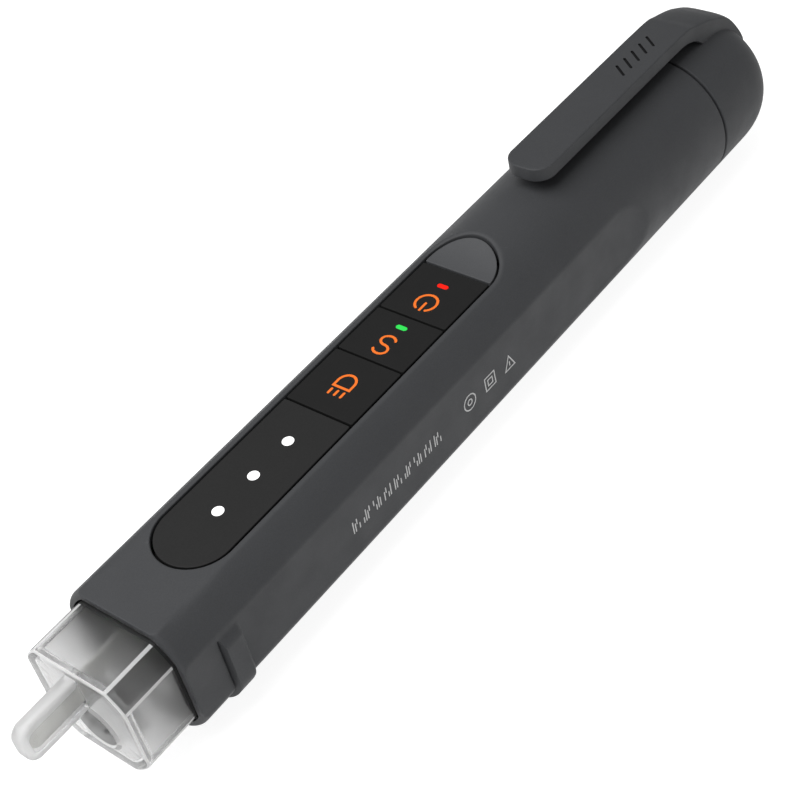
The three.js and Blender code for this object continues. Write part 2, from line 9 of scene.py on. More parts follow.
import bmesh
import bpy
import numpy as np
from mathutils import Euler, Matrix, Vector


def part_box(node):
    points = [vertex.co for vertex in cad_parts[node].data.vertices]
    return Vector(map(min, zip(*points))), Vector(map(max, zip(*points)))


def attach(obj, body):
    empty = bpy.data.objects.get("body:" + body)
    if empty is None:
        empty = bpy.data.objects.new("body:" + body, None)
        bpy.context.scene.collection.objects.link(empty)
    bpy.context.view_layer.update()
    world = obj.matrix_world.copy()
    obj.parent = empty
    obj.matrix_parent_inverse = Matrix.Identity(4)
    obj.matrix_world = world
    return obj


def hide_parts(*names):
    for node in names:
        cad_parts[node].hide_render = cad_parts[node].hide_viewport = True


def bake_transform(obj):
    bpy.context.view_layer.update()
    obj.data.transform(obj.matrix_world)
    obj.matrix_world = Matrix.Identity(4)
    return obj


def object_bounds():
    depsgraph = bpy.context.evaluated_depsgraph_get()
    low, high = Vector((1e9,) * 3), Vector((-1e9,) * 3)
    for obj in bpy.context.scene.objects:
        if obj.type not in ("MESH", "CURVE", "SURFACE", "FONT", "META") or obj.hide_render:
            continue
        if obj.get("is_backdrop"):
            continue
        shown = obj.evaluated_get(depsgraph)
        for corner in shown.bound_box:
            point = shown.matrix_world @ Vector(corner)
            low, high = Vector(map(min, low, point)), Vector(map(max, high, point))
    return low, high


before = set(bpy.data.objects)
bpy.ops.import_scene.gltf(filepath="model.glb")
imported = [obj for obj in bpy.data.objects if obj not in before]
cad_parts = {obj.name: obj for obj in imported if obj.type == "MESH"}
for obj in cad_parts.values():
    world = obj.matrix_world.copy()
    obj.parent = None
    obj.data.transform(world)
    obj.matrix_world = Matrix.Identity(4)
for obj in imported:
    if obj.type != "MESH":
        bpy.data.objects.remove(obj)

CAD_LOW, CAD_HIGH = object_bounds()
MM = 0.001
_low, _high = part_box("housing")
ORIGIN = np.array([_low.x, (_low.y + _high.y) / 2, (_low.z + _high.z) / 2])

# ---- Sizes, as in the CAD source ----
BODY_R, TOP_FLAT, SIDE_FLAT = 11.3, 9.14, 10.12
TOP_RUNOUT, TOP_RUNOUT_R = 68.2, 13.0  # where a facet ends, and the radius of its climb
SIDE_RUNOUT, SIDE_RUNOUT_R = 93.2, 16.5
HOUSING_END = 121.88
MOUTH_R, MOUTH_TOP, MOUTH_SIDE = 10.26, 8.29, 8.95
REAR_BORE_R, REAR_BORE_X = 10.15, 99.5
SLOT_HALF, SLOT_FRONT_X, SLOT_REAR_X = 5.95, 14.8, 69.1  # centres of the slot's two round ends
SEAM, INSERT_DROP, INSERT_BOTTOM = 0.32, 0.08, 8.45
FLANGE_TOP, FLANGE_BOTTOM, FLANGE_HALF = 6.9, 6.4, 6.6
PANEL_END, TORCH_END, SENSE_END, POWER_END, REST_END = 38.35, 49.2, 58.5, 68.95, 75.05
DOTS, DOT_R = (18.7, 25.5, 32.3), 0.83
GUARD_FRONT, GUARD_REAR = 5.9, 9.4
GUARD_R, GUARD_SIDE, GUARD_BOTTOM, GUARD_TOP = 11.95, 10.97, 11.3, 4.2
HEAD_R, HEAD_TOP, HEAD_SIDE, HEAD_FRONT, HEAD_BACK, HEAD_WALL = 9.98, 7.8, 8.66, -8.5, 8.3, 1.2
BLADE_HALF, BLADE_LOW, BLADE_HIGH, BLADE_TIP, BLADE_CORNER = 1.05, 1.15, 6.8, -17.9, 1.9
TORCH_Z, TORCH_R = -3.2, 3.3
CAP_START, DOME_X, CAP_END, DOME_POWER = 122.38, 130.0, 140.3, 2.5
SPIGOT_START, SPIGOT_R, SPIGOT_INNER, CAP_LEDGE, CAVITY_R = 115.0, 9.85, 8.75, 123.6, 8.0
CLIP_TIP, CLIP_HALF, CLIP_CORNER, CLIP_JOINT, CLIP_MIDDLE = 86.1, 3.72, 2.8, 125.15, 14.2


# ---- Materials ----
class Paint:
    """A small helper for node materials. Textures read object coordinates, which are the frame's metres."""

    def __init__(self, name):
        self.material = bpy.data.materials.new(name)
        self.material.use_nodes = True
        self.tree = self.material.node_tree
        self.shader = self.tree.nodes["Principled BSDF"]
        self.coords = self.node("ShaderNodeTexCoord").outputs["Object"]

    def node(self, kind, **values):
        made = self.tree.nodes.new(kind)
        for key, value in values.items():
            if key in made.bl_rna.properties:
                setattr(made, key, value)
            else:
                self.link(value, made.inputs[key.replace("_", " ")])
        return made

    def link(self, value, socket):
        if isinstance(value, bpy.types.NodeSocket):
            self.tree.links.new(value, socket)
        else:
            socket.default_value = value

    def noise(self, size_mm, detail=3.0, roughness=0.5, stretch=(1, 1, 1)):
        scale = self.node("ShaderNodeVectorMath", operation="MULTIPLY")
        self.link(self.coords, scale.inputs[0])
        scale.inputs[1].default_value = stretch
        return self.node("ShaderNodeTexNoise", Vector=scale.outputs[0], Scale=1 / (size_mm * MM),
                         Detail=detail, Roughness=roughness).outputs["Fac"]

    def along_x(self):
        return self.node("ShaderNodeSeparateXYZ", Vector=self.coords).outputs["X"]

    def ramp(self, factor, low, high, start=0.3, end=0.7):
        """A value or colour that goes from low to high as factor goes from start to end."""
        if isinstance(low, (int, float)):
            return self.node("ShaderNodeMapRange", Value=factor, From_Min=start, From_Max=end, To_Min=low,
                             To_Max=high).outputs["Result"]
        made = self.node("ShaderNodeValToRGB", Fac=factor)
        elements = made.color_ramp.elements
        elements[0].position, elements[0].color = start, (*low, 1)
        elements[1].position, elements[1].color = end, (*high, 1)
        return made.outputs["Color"]

    def mix(self, factor, a, b, how="MIX"):
        made = self.node("ShaderNodeMix", data_type="RGBA", blend_type=how)
        self.link(factor, made.inputs["Factor"])
        self.link(a, made.inputs[6])
        self.link(b, made.inputs[7])
        return made.outputs[2]

    def math(self, operation, a, b=0.0):
        made = self.node("ShaderNodeMath", operation=operation)
        self.link(a, made.inputs[0])
        self.link(b, made.inputs[1])
        return made.outputs[0]

    def bump(self, height, depth_mm):
        made = self.node("ShaderNodeBump", Strength=1.0, Distance=depth_mm * MM, Height=height)
        self.link(made.outputs["Normal"], self.shader.inputs["Normal"])

    def set(self, **values):
        for key, value in values.items():
            self.link(value, self.shader.inputs[key.replace("_", " ")])
        return self.material


def srgb(code):
    """A hex colour as linear values."""
    parts = [int(code[i:i + 2], 16) / 255 for i in (0, 2, 4)]
    return tuple(c / 12.92 if c <= 0.04045 else ((c + 0.055) / 1.055) ** 2.4 for c in parts)


def scaled(colour, share):
    return tuple(c * share for c in colour)


WORN_FROM, WORN_TO = 0.53, 0.62  # the Pointiness where an edge starts to be polished, and is fully so


def moulded(name, colour, roughness, grain_mm, grain_depth, spread=0.03, specular=0.5, wear=0.35):
    """Matte moulded plastic: spark-eroded grain, slow colour variation, edges polished by handling."""
    p = Paint(name)
    base = srgb(colour)
    broad = p.ramp(p.noise(9, 2), scaled(base, 1 - spread), scaled(base, 1 + spread))
    grain = p.noise(grain_mm, 2, 0.6)
    speckle = p.ramp(grain, (0.93,) * 3, (1.07,) * 3, 0.35, 0.65)
    tint = p.mix(1.0, broad, speckle, "MULTIPLY")
    edge = p.node("ShaderNodeNewGeometry").outputs["Pointiness"]
    worn = p.ramp(edge, 0.0, wear, WORN_FROM, WORN_TO)
    polished = (*(c * 1.35 + 0.01 for c in base), 1)
    colour_out = p.mix(worn, tint, polished)
    rough = p.math("SUBTRACT", p.ramp(p.noise(4, 3), roughness - 0.05, roughness + 0.05),
                   p.math("MULTIPLY", worn, 0.15))
    p.bump(grain, grain_depth)
    return p.set(Base_Color=colour_out, Roughness=rough, Specular_IOR_Level=specular)


def clear_plastic(name, roughness, tint, clarity=1.0, specular=0.5, shade_share=1.0):
    """Clear plastic. The lower its clarity, the more of it is a milky veil that scatters light; shade_share
    is the share of its tint that is left where the head enters the housing, a painted shade that darkens it
    there."""
    p = Paint(name)
    haze = p.ramp(p.noise(0.25, 2), roughness * 0.8, roughness * 1.2)
    colour = p.ramp(p.noise(5, 2), (tint * 0.97,) * 3, (tint,) * 3)
    # painted shade: the tint darkens towards where the head enters the housing
    if shade_share < 1:
        start = float(ORIGIN[0]) + HEAD_FRONT * MM
        fade = p.ramp(p.along_x(), 0.0, 1.0, start + 2 * MM, start - HEAD_FRONT * MM)
        colour = p.mix(fade, colour, (tint * shade_share,) * 3 + (1,))
    p.bump(p.noise(0.5, 2), 0.004)
    return p.set(Base_Color=colour, Roughness=haze, Transmission_Weight=clarity, IOR=1.45,
                 Specular_IOR_Level=specular)


def ink(name, colour, share=1.0):
    """Print: share is how much of the colour's light it gives back."""
    p = Paint(name)
    base = scaled(srgb(colour), share)
    patchy = p.ramp(p.noise(0.12, 3), scaled(base, 0.85), base, 0.3, 0.55)
    return p.set(Base_Color=patchy, Roughness=p.ramp(p.noise(0.3), 0.45, 0.6), Specular_IOR_Level=0.2)


def glowing(name, colour, strength):
    """A small lit window: diffusing plastic, a little uneven in brightness."""
    p = Paint(name)
    base = srgb(colour)
    light = p.ramp(p.noise(0.4, 1), scaled(base, 0.9), base)
    unlit = p.ramp(p.noise(0.4, 1), scaled(base, 0.08), scaled(base, 0.1))
    uneven = p.ramp(p.noise(0.7, 1), strength * 0.92, strength * 1.05)
    return p.set(Base_Color=unlit, Roughness=p.ramp(p.noise(0.3), 0.3, 0.4), Specular_IOR_Level=0.2,
                 Emission_Color=light, Emission_Strength=uneven)


def metal(name, colour, roughness):
    """Sheet or wire with faint streaks along the pen."""
    p = Paint(name)
    base = srgb(colour)
    drawn = p.noise(0.18, 3, 0.6, (0.15, 1, 1))
    p.bump(drawn, 0.008)
    return p.set(Base_Color=p.ramp(p.noise(2.5), scaled(base, 0.85), base), Metallic=1.0,
                 Roughness=p.ramp(drawn, roughness - 0.07, roughness + 0.1))


def board_material():
    """Green solder mask with a plain grid of lighter tracks."""
    p = Paint("solder_mask")
    tracks = p.node("ShaderNodeTexBrick", Vector=p.coords, Scale=1 / (1.6 * MM), Mortar_Size=0.06,
                    Color1=(0.02, 0.13, 0.05, 1), Color2=(0.015, 0.1, 0.04, 1), Mortar=(0.05, 0.24, 0.09, 1))
    p.bump(tracks.outputs["Fac"], 0.03)
    return p.set(Base_Color=tracks.outputs["Color"], Roughness=p.ramp(p.noise(0.8), 0.25, 0.4))


def cell_material():
    """A plain wrapped cell: grey body, a darker band, faint foil grain; it has no lettering."""
    shift, pitch, band_edge, blur = 5.5 * MM, 22.3 * MM, 13.5 * MM, 0.3 * MM
    p = Paint("cell_wrap")
    band = p.math("PINGPONG", p.math("ADD", p.along_x(), shift), pitch)
    mask = p.ramp(band, 0.0, 1.0, band_edge, band_edge + blur)
    foil = p.ramp(p.noise(0.9, 2, 0.5, (1, 4, 4)), (0.16, 0.20, 0.25), (0.22, 0.26, 0.31))
    return p.set(Base_Color=p.mix(mask, foil, (0.02, 0.022, 0.028, 1)), Metallic=0.6,
                 Roughness=p.ramp(p.noise(0.5), 0.28, 0.42))


HOUSING = moulded("housing_plastic", "37383a", 0.62, 0.16, 0.010, specular=0.3)
CAP = moulded("cap_plastic", "363739", 0.62, 0.16, 0.010, specular=0.3, wear=0.0)
PANEL = moulded("panel_film", "1e1e1e", 0.6, 0.30, 0.002, 0.03, 0.18, 0.0)
KEY = moulded("key_rubber", "191919", 0.7, 0.13, 0.014, 0.03, 0.14, 0.0)
# the housing's plastic made lighter for the thumb rest: painted light on its rising scoop
REST_PAINTED_LIGHT = moulded("thumb_rest_plastic_painted_lighter", "3f4042", 0.6, 0.16, 0.010, specular=0.3)
ENGRAVED = moulded("engraved_groove", "1b1b1c", 0.7, 0.16, 0.006, specular=0.1)
ORANGE = ink("orange_print", "ff7d28", 0.8)
PALE_INK = ink("pale_print", "b8b8b8")
# CLEAR, FROSTED and the rounded corners darken towards the housing: painted shade
CLEAR = clear_plastic("clear_polycarbonate", 0.12, 0.90, 0.98, 0.3, 0.55)
FROSTED = clear_plastic("clear_inner_face", 0.45, 0.88, 0.95, 0.2, 0.55)
# a milky veil on ridges, the front fillet, the bore's lip and the blade's inner line: painted highlight
EDGE_HIGHLIGHT = clear_plastic("clear_painted_edge_highlight", 0.5, 0.85, 0.55, 0.3)
# the blade's rim band and rounded edges: a milky veil that is a painted highlight
BLADE_EDGE_HIGHLIGHT = clear_plastic("clear_blade_edge_painted_highlight", 0.5, 0.86, 0.7, 0.4)
BLADE = clear_plastic("clear_blade_face", 0.12, 0.95, 0.97, 0.3)
# the torch bore's wall: its dark tint is painted shade inside the hole
BORE_SHADE = clear_plastic("clear_torch_bore_painted_shade", 0.4, 0.15, 0.8, 0.3)
# a dark tint on the head's upper rounded corners only: painted shade
CORNER_SHADE = clear_plastic("clear_rounded_corner_painted_shade", 0.5, 0.2, 0.95, 0.2, 0.5)
SHADE = clear_plastic("clear_in_mouth", 0.6, 0.03, 0.9, 0.1)
LAMP = clear_plastic("lamp_epoxy", 0.04, 0.96)
WHITE_GLOW = glowing("white_window", "ffffff", 1.6)
RED_GLOW = glowing("red_window", "ff1800", 1.0)
GREEN_GLOW = glowing("green_window", "32e65a", 1.0)
BRASS = metal("nickel_brass", "b9a877", 0.32)
STEEL = metal("spring_steel", "b5b7b9", 0.25)
TIN = metal("tinned_sheet", "cfcfcb", 0.5)
INNER_BLACK = moulded("inner_black", "1c1c1d", 0.65, 0.3, 0.006)
CHIP = moulded("chip_resin", "202022", 0.5, 0.08, 0.006)
SMALL_LAMP = ink("small_lamp", "efe9c8")
BOARD = board_material()
CELL = cell_material()


# ---- Mesh kit ----
WELD, SPECK = 8e-7, 1e-7  # metres: points closer than WELD become one, and edges shorter than SPECK go


class Shape:
    """Collects grids of quads; shared borders are merged when the piece is made."""

    def __init__(self):
        self.points, self.faces, self.count = [], [], 0

    def grid(self, rows, wrap=False):
        """rows: array (rows, columns, 3). wrap closes each row on itself."""
        rows = np.asarray(rows, float)
        n, m = rows.shape[:2]
        self.points.append(rows.reshape(-1, 3))
        columns = m if wrap else m - 1
        i, j = np.meshgrid(np.arange(n - 1), np.arange(columns), indexing="ij")
        k = (j + 1) % m
        a = self.count
        self.faces.append(np.stack([a + i * m + j, a + i * m + k, a + (i + 1) * m + k, a + (i + 1) * m + j],
                                   -1).reshape(-1, 4))
        self.count += n * m
        return self


def finish_mesh(mesh, sharp_deg):
    bm = bmesh.new()
    bm.from_mesh(mesh)
    bmesh.ops.remove_doubles(bm, verts=bm.verts, dist=WELD)
    bmesh.ops.dissolve_degenerate(bm, edges=bm.edges, dist=SPECK)
    bmesh.ops.recalc_face_normals(bm, faces=bm.faces)
    bm.to_mesh(mesh)
    bm.free()
    mesh.shade_smooth()
    mesh.set_sharp_from_angle(angle=radians(sharp_deg))


def add_object(name, data):
    made = bpy.data.objects.new(name, data)
    bpy.context.scene.collection.objects.link(made)
    return made


def build(name, shape, material, sharp_deg=38):
    points = np.concatenate(shape.points) * MM + ORIGIN
    mesh = bpy.data.meshes.new(name)
    mesh.from_pydata(points.tolist(), [], np.concatenate(shape.faces).tolist())
    finish_mesh(mesh, sharp_deg)
    mesh.materials.append(material)
    return add_object(name, mesh)


def carve(target, tool, operation="DIFFERENCE", sharp_deg=38):
    """Applies a boolean and removes the tool."""
    change = target.modifiers.new("carve", "BOOLEAN")
    change.operation, change.solver, change.object = operation, "MANIFOLD", tool
    change.material_mode = "TRANSFER"
    bpy.context.view_layer.update()
    result = bpy.data.meshes.new_from_object(target.evaluated_get(bpy.context.evaluated_depsgraph_get()))
    target.modifiers.clear()
    old, target.data = target.data, result
    bpy.data.meshes.remove(old)
    bpy.data.objects.remove(tool)
    finish_mesh(target.data, sharp_deg)
    return target


def paint(piece, *materials):
    piece.data.materials.clear()
    for material in materials:
        piece.data.materials.append(material)


def place(piece, body, slot, *nodes):
    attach(piece, body)
    if nodes:
        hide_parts(*nodes)
    return piece


def smooth_min(a, b, k):
    """The lesser of a and b, blended where they differ by less than k."""
    h = np.clip(1 - np.abs(a - b) / k, 0, 1)
    return np.minimum(a, b) - h * h * k / 4


def smooth_step(t):
    t = np.clip(t, 0, 1)
    return t * t * (3 - 2 * t)


def quarter(steps):
    """(across, along) of a quarter circle of radius 1 from (0, 1) to (1, 0), for rounded edges."""
    angles = np.linspace(0, pi / 2, steps + 1)
    return [(1 - cos(a), 1 - sin(a)) for a in angles]


def norms(vectors):
    return np.linalg.norm(vectors, axis=1, keepdims=True)


def inward(outline):
    """Unit normals that point into a closed outline of (n, 2) points."""
    ahead = np.roll(outline, -1, 0) - outline
    ahead /= np.maximum(norms(ahead), 1e-9)
    behind = np.roll(ahead, 1, 0)
    normal = np.stack([-(ahead + behind)[:, 1], (ahead + behind)[:, 0]], 1)
    length = norms(normal)
    normal /= np.maximum(length, 1e-9)
    normal /= np.maximum(length / 2, 0.5)  # mitre
    area = np.sum(outline[:, 0] * np.roll(outline[:, 1], -1) - np.roll(outline[:, 0], -1) * outline[:, 1])
    return normal if area > 0 else -normal


def level(z):
    """For pillow's top or bottom: the same height everywhere."""
    return lambda u, v: z + 0 * u


def plan_at(z):
    """A place_at that lays (u, v) out in plan, h above the height z."""
    return lambda u, v, h: np.stack([u, v, z + h], 1)


def pillow(outline, spine, place_at, top, bottom, edge, low_edge, fractions=(0.03, 0.12, 0.35, 0.7, 1.0)):
    """A slab with rounded edges. outline and spine are (n, 2); place_at(u, v, h) gives points for height h,
    which is top(u, v) or bottom(u, v) less the edge's rounding."""
    normal = inward(outline)

    def face(height, sign, r):
        """Rings round the edge and then across the face, from the outline in to the spine."""
        steps = [(outline + normal * across * r, sign * along * r) for across, along in quarter(4)]
        shoulder = steps[-1][0]
        steps += [(shoulder + (spine - shoulder) * f, 0.0) for f in fractions]
        return [place_at(*uv.T, height(*uv.T) + drop) for uv, drop in steps]

    rings = face(top, -1, edge)[::-1] + face(bottom, 1, low_edge)
    return Shape().grid(rings, wrap=True)


# ---- Housing ----
TOP_HALF = 8.0  # the strip |y| < TOP_HALF is laid out in plan, the rest of the ring by angle
PATCH_FRONT, PATCH_REAR = 3.0, 78.0  # between these the strip has the slot in it
FRONT_RIM, FACET_RIM, REAR_RIM = (0.9, 0.65), (0.15, 0.15), (0.15, 0.15)  # reach along x, and depth
CREASE, CREASE_GROWTH, CREASE_RUN = 0.16, 0.08, 30  # a facet's border softens behind the top facet's end
BORE_CREASE = 0.1
GUARD_CREASE, GUARD_RISE, GUARD_FALL, GUARD_FADE, GUARD_EASE = 0.3, 0.22, 0.9, 2.0, 0.1
GROOVE_DEPTH, GROOVE_AHEAD, GROOVE_HALF, GROOVE_FADE = 0.36, 0.16, 0.12, 0.4  # in front of the guard
SLOT_RIM_WIDTH, SLOT_RIM_DROP, SLOT_STRIP = 0.2, 0.16, 0.3
NO_FACET = 99  # further out than any facet


def facet_height(x, height, runout, r):
    """Flat up to the facet's runout, then climbing by the radius r."""
    over = np.clip(x - runout, 0, r)
    return height + r - np.sqrt(r ** 2 - over ** 2)


def rim_inset(x, end, reach, depth):
    t = np.clip(np.abs(x - end) / reach, 0, 1)
    return depth * (1 - np.sqrt(np.clip(1 - (1 - t) ** 2, 0, 1)))


def outer_circle(x):
    return BODY_R - rim_inset(x, 0, *FRONT_RIM) - rim_inset(x, HOUSING_END, *REAR_RIM)


def crease(x):
    return CREASE + CREASE_GROWTH * smooth_step((x - TOP_RUNOUT) / CREASE_RUN)


def facet_reach(height, facing):
    """Distance out to a facet; facing is the cosine between the direction and the facet's normal."""
    return np.where(facing > 0, height / np.maximum(facing, 1e-3), NO_FACET)


def faceted(circle, side, bottom, c, s, k):
    """Distance out, in the direction (c, s), to a circle cut by two side facets and a bottom one."""
    r = smooth_min(circle, facet_reach(side, np.abs(c)), k)
    return smooth_min(r, facet_reach(bottom, -s), k)


def outer_top(x, y):
    flat = facet_height(x, TOP_FLAT, TOP_RUNOUT, TOP_RUNOUT_R) - rim_inset(x, 0, *FACET_RIM)
    z = smooth_min(flat, np.sqrt(outer_circle(x) ** 2 - y ** 2), crease(x))
    return np.stack([x, y, z], -1)


def outer_side(x, phi):
    """The sides and bottom, with the guard rib and the groove in front of it."""
    c, s = np.cos(phi), np.sin(phi)
    flat = facet_height(x, SIDE_FLAT, SIDE_RUNOUT, SIDE_RUNOUT_R) - rim_inset(x, 0, *FACET_RIM)
    r = faceted(outer_circle(x), flat, flat, c, s, crease(x))
    guard = faceted(GUARD_R, GUARD_SIDE, GUARD_BOTTOM, c, s, GUARD_CREASE)
    along = (smooth_step((x - GUARD_FRONT + GUARD_EASE) / GUARD_RISE)
             * smooth_step((GUARD_REAR + GUARD_EASE - x) / GUARD_FALL))
    up = smooth_step((GUARD_TOP + GUARD_EASE - r * s) / GUARD_FADE)
    groove = (GROOVE_DEPTH * np.exp(-((x - GUARD_FRONT + GROOVE_AHEAD) / GROOVE_HALF) ** 2)
              * smooth_step((GUARD_TOP - r * s) / GROOVE_FADE))
    r = r + np.maximum(guard - r, 0) * along * up - groove
    return np.stack([x + 0 * r, r * c, r * s], -1)


def inner_top(x, y):
    flat = np.where(x > REAR_BORE_X, NO_FACET, MOUTH_TOP)
    r = np.where(x > REAR_BORE_X, REAR_BORE_R, MOUTH_R)
    return np.stack([x, y, smooth_min(flat, np.sqrt(r ** 2 - y ** 2), BORE_CREASE)], -1)


def inner_side(x, phi):
    """phi is the outer surface's angle; the bore's own angle starts where its own |y| is TOP_HALF."""
    r0 = np.where(x > REAR_BORE_X, REAR_BORE_R, MOUTH_R)
    flat = np.where(x > REAR_BORE_X, NO_FACET, MOUTH_SIDE)
    outer_start = acos(TOP_HALF / BODY_R)
    start = np.arccos(TOP_HALF / r0)
    below = phi - pi * 1.5  # 0 at the bottom
    angle = pi * 1.5 + below * (pi / 2 + start) / (pi / 2 + outer_start)
    c, s = np.cos(angle), np.sin(angle)
    r = faceted(r0, flat, flat, c, s, BORE_CREASE)
    return np.stack([x + 0 * r, r * c, r * s], -1)


def slot_point(x, y):
    """The point of the slot's edge that faces the point (x, y) outside it."""
    centre = min(max(x, SLOT_FRONT_X), SLOT_REAR_X)
    scale = SLOT_HALF / hypot(x - centre, y)
    return centre + (x - centre) * scale, y * scale


def spaced(*parts):
    """Sorted samples from (start, end, step) parts and single values."""
    values = set()
    for part in parts:
        if isinstance(part, tuple):
            start, end, step = part
            n = max(1, round((end - start) / step))
            values.update(np.round(np.linspace(start, end, n + 1), 6))
        else:
            values.add(round(part, 6))
    return np.array(sorted(values))


def slot_strip(mid_x, ys):
    """Rings of the outer and of the inner skin, from the slot's edge out to the middle section's border."""
    border = [(x, TOP_HALF) for x in mid_x] + [(PATCH_REAR, y) for y in ys[1:-1]]
    border += [(x, -TOP_HALF) for x in mid_x[::-1]] + [(PATCH_FRONT, y) for y in ys[::-1][1:-1]]
    border = np.array(border)
    edge = np.array([slot_point(x, y) for x, y in border])
    reach = norms(border - edge)
    outward = (border - edge) / reach
    outer = []
    for d in (0, 0.02, 0.05, 0.09, 0.14, SLOT_RIM_WIDTH, SLOT_STRIP):
        xy = edge + outward * d
        drop = SLOT_RIM_DROP * (1 - sqrt(1 - (1 - min(d / SLOT_RIM_WIDTH, 1)) ** 2))
        outer.append(outer_top(*xy.T) - [0, 0, drop])
    for f in (0.06, 0.11, 0.16, 0.2, 0.235, 0.27, 0.31, 0.37, 0.5, 0.7, 0.85, 1.0):
        outer.append(outer_top(*(edge + outward * (SLOT_STRIP + (reach - SLOT_STRIP) * f)).T))
    return outer, [inner_top(*(edge + outward * reach * f).T) for f in (0, 0.5, 1.0)]


def housing_shape():
    """The shell in three lengths: full rings before and behind the slot, and side rows beside it."""
    shape = Shape()
    # samples are closest at the rims, the guard and the places where a facet ends
    front_x = spaced(0, 0.02, 0.06, 0.12, 0.2, 0.3, 0.42, 0.55, 0.7, 0.9, 1.3, 2, PATCH_FRONT)
    mid_x = spaced((PATCH_FRONT, 5.4, 0.8), (5.45, 6.1, 0.05), (6.3, 8.4, 0.5), (8.5, 9.6, 0.1),
                   (10, SLOT_FRONT_X, 0.7), (SLOT_FRONT_X, 66, 2.6), (66, PATCH_REAR, 0.4))
    rear_x = spaced(PATCH_REAR, 84, 89, 92, (93, 100.4, 0.25), (101, 121, 4),
                    121.6, 121.73, 121.76, 121.8, 121.84, HOUSING_END)
    ys = spaced((0, 6, 0.5), (6.1, 7.0, 0.1), (7.0, TOP_HALF, 0.25))
    ys = np.concatenate([ys[::-1], -ys[1:]])  # from +TOP_HALF to -TOP_HALF
    start = acos(TOP_HALF / BODY_R)
    corner = acos(SIDE_FLAT / BODY_R)
    lower = asin(SIDE_FLAT / BODY_R)
    degree = radians(1)
    creases = [(at - 3 * degree, at + 3 * degree, 0.3 * degree) for at in (corner, -corner, -lower)]
    quarter_phi = spaced((-pi / 2, start, 1.3 * degree), *creases,
                         (8 * degree, 26 * degree, 0.65 * degree))
    # from the +Y side (just under the strip) down to the bottom, then up the -Y side
    right = quarter_phi[::-1]
    share = (right - start) / (-pi / 2 - start)  # 0 at the strip, 1 at the bottom

    def side_angles(circle):
        """Angles of the side samples: the strip's edge moves a little where the rim is rounded."""
        begin = acos(TOP_HALF / circle)
        down = begin + (-pi / 2 - begin) * share
        nominal = right + (begin - start) * (1 - share)
        blend = np.where(share < 0.15, down, nominal) if abs(begin - start) > 1e-9 else right
        return np.concatenate([blend, (pi - blend)[::-1][1:]])

    def side_row(x):
        angles = side_angles(float(outer_circle(np.array(x))))
        return outer_side(np.full(len(angles), x), angles)

    nominal_side = np.concatenate([right, (pi - right)[::-1][1:]])
    nominal_side = np.where(nominal_side > pi / 2, nominal_side, nominal_side + 2 * pi)

    def inner_row(x):
        return inner_side(np.full(len(nominal_side), x), nominal_side)

    def ring(x, outer=True):
        """A closed ring: plan samples from +Y to -Y over the top, then the sides from -Y back to +Y."""
        xs = np.full(len(ys), x)
        top = (outer_top if outer else inner_top)(xs, ys)
        side = (side_row(x) if outer else inner_row(x))[::-1]
        return np.concatenate([top, side[1:-1]])

    inner_rear = [PATCH_REAR, REAR_BORE_X, REAR_BORE_X + 0.001, HOUSING_END]
    shape.grid([ring(x) for x in front_x], wrap=True)
    shape.grid([ring(x) for x in rear_x], wrap=True)
    shape.grid([ring(x, False) for x in front_x[[0, -1]]], wrap=True)
    shape.grid([ring(x, False) for x in inner_rear], wrap=True)
    shape.grid([ring(0.0), ring(0.0, False)], wrap=True)
    shape.grid([ring(HOUSING_END), ring(HOUSING_END, False)], wrap=True)
    shape.grid([side_row(x) for x in mid_x])
    shape.grid([inner_row(x) for x in mid_x])

    outer, inner = slot_strip(mid_x, ys)
    shape.grid(outer, wrap=True)
    shape.grid(inner, wrap=True)
    shape.grid([outer[0], inner[0]], wrap=True)
    return shape


place(build("housing_shell", housing_shape(), HOUSING, 32), "body", "housing", "housing")


# ---- The insert: panel, keys and thumb rest ----
INSERT_CORNER, CORNER_LEAD = 0.25, 0.3  # a corner's radius, and how far before it the samples stop
NECK_INSET, FLANGE_GAP = 0.9, 0.25
FLAT_TOP = 8  # degrees: keeps the flat top of a panel or key free of shading from its rounded edge


def insert_half(x):
    """Half-width of the insert at x."""
    past = max(SLOT_FRONT_X - x, x - SLOT_REAR_X, 0)
    return sqrt(max((SLOT_HALF - SEAM) ** 2 - past ** 2, 0))


def insert_outline(x0, x1):
    """One side of the piece from x0 to x1, mirrored. The slot's own ends are sampled by angle."""
    r, corner = SLOT_HALF - SEAM, INSERT_CORNER
    turn = np.linspace(0, pi / 2, 6)
    side = []
    if x0 < SLOT_FRONT_X:
        side += [(SLOT_FRONT_X - r * cos(a), r * sin(a)) for a in np.linspace(0, pi / 2, 33)]
    else:
        w = insert_half(x0 + corner)
        side += [(x0, y) for y in np.linspace(0, w - corner - CORNER_LEAD, 8)]
        side += [(x0 + corner - corner * cos(a), w - corner + corner * sin(a)) for a in turn]
    begin = side[-1][0]
    if x1 > SLOT_REAR_X + r / 2:  # the piece fills the slot's rear end
        rear_turn = np.linspace(asin((begin - SLOT_REAR_X) / r), pi / 2, 30)[1:-1]
        side += [(SLOT_REAR_X + r * sin(a), r * cos(a)) for a in rear_turn]
        side.append((SLOT_REAR_X + r, 0.0))
    else:
        end = x1 - corner
        count = max(4, int((end - begin) / 0.8))
        side += [(x, insert_half(x)) for x in np.linspace(begin, end, count + 1)[1:]]
        w = insert_half(end)
        side += [(end + corner * sin(a), w - corner + corner * cos(a)) for a in turn[1:]]
        side += [(x1, y) for y in np.linspace(w - corner - CORNER_LEAD, 0, 8)]
    other = [(x, -y) for x, y in side[::-1][1:-1]]
    return np.array(side + other)


def insert_top(x, y):
    """It follows the housing's top, a little lower."""
    flat = facet_height(x, TOP_FLAT, TOP_RUNOUT, TOP_RUNOUT_R) - INSERT_DROP
    return smooth_min(flat, np.sqrt((BODY_R - INSERT_DROP) ** 2 - y ** 2), 0.05)


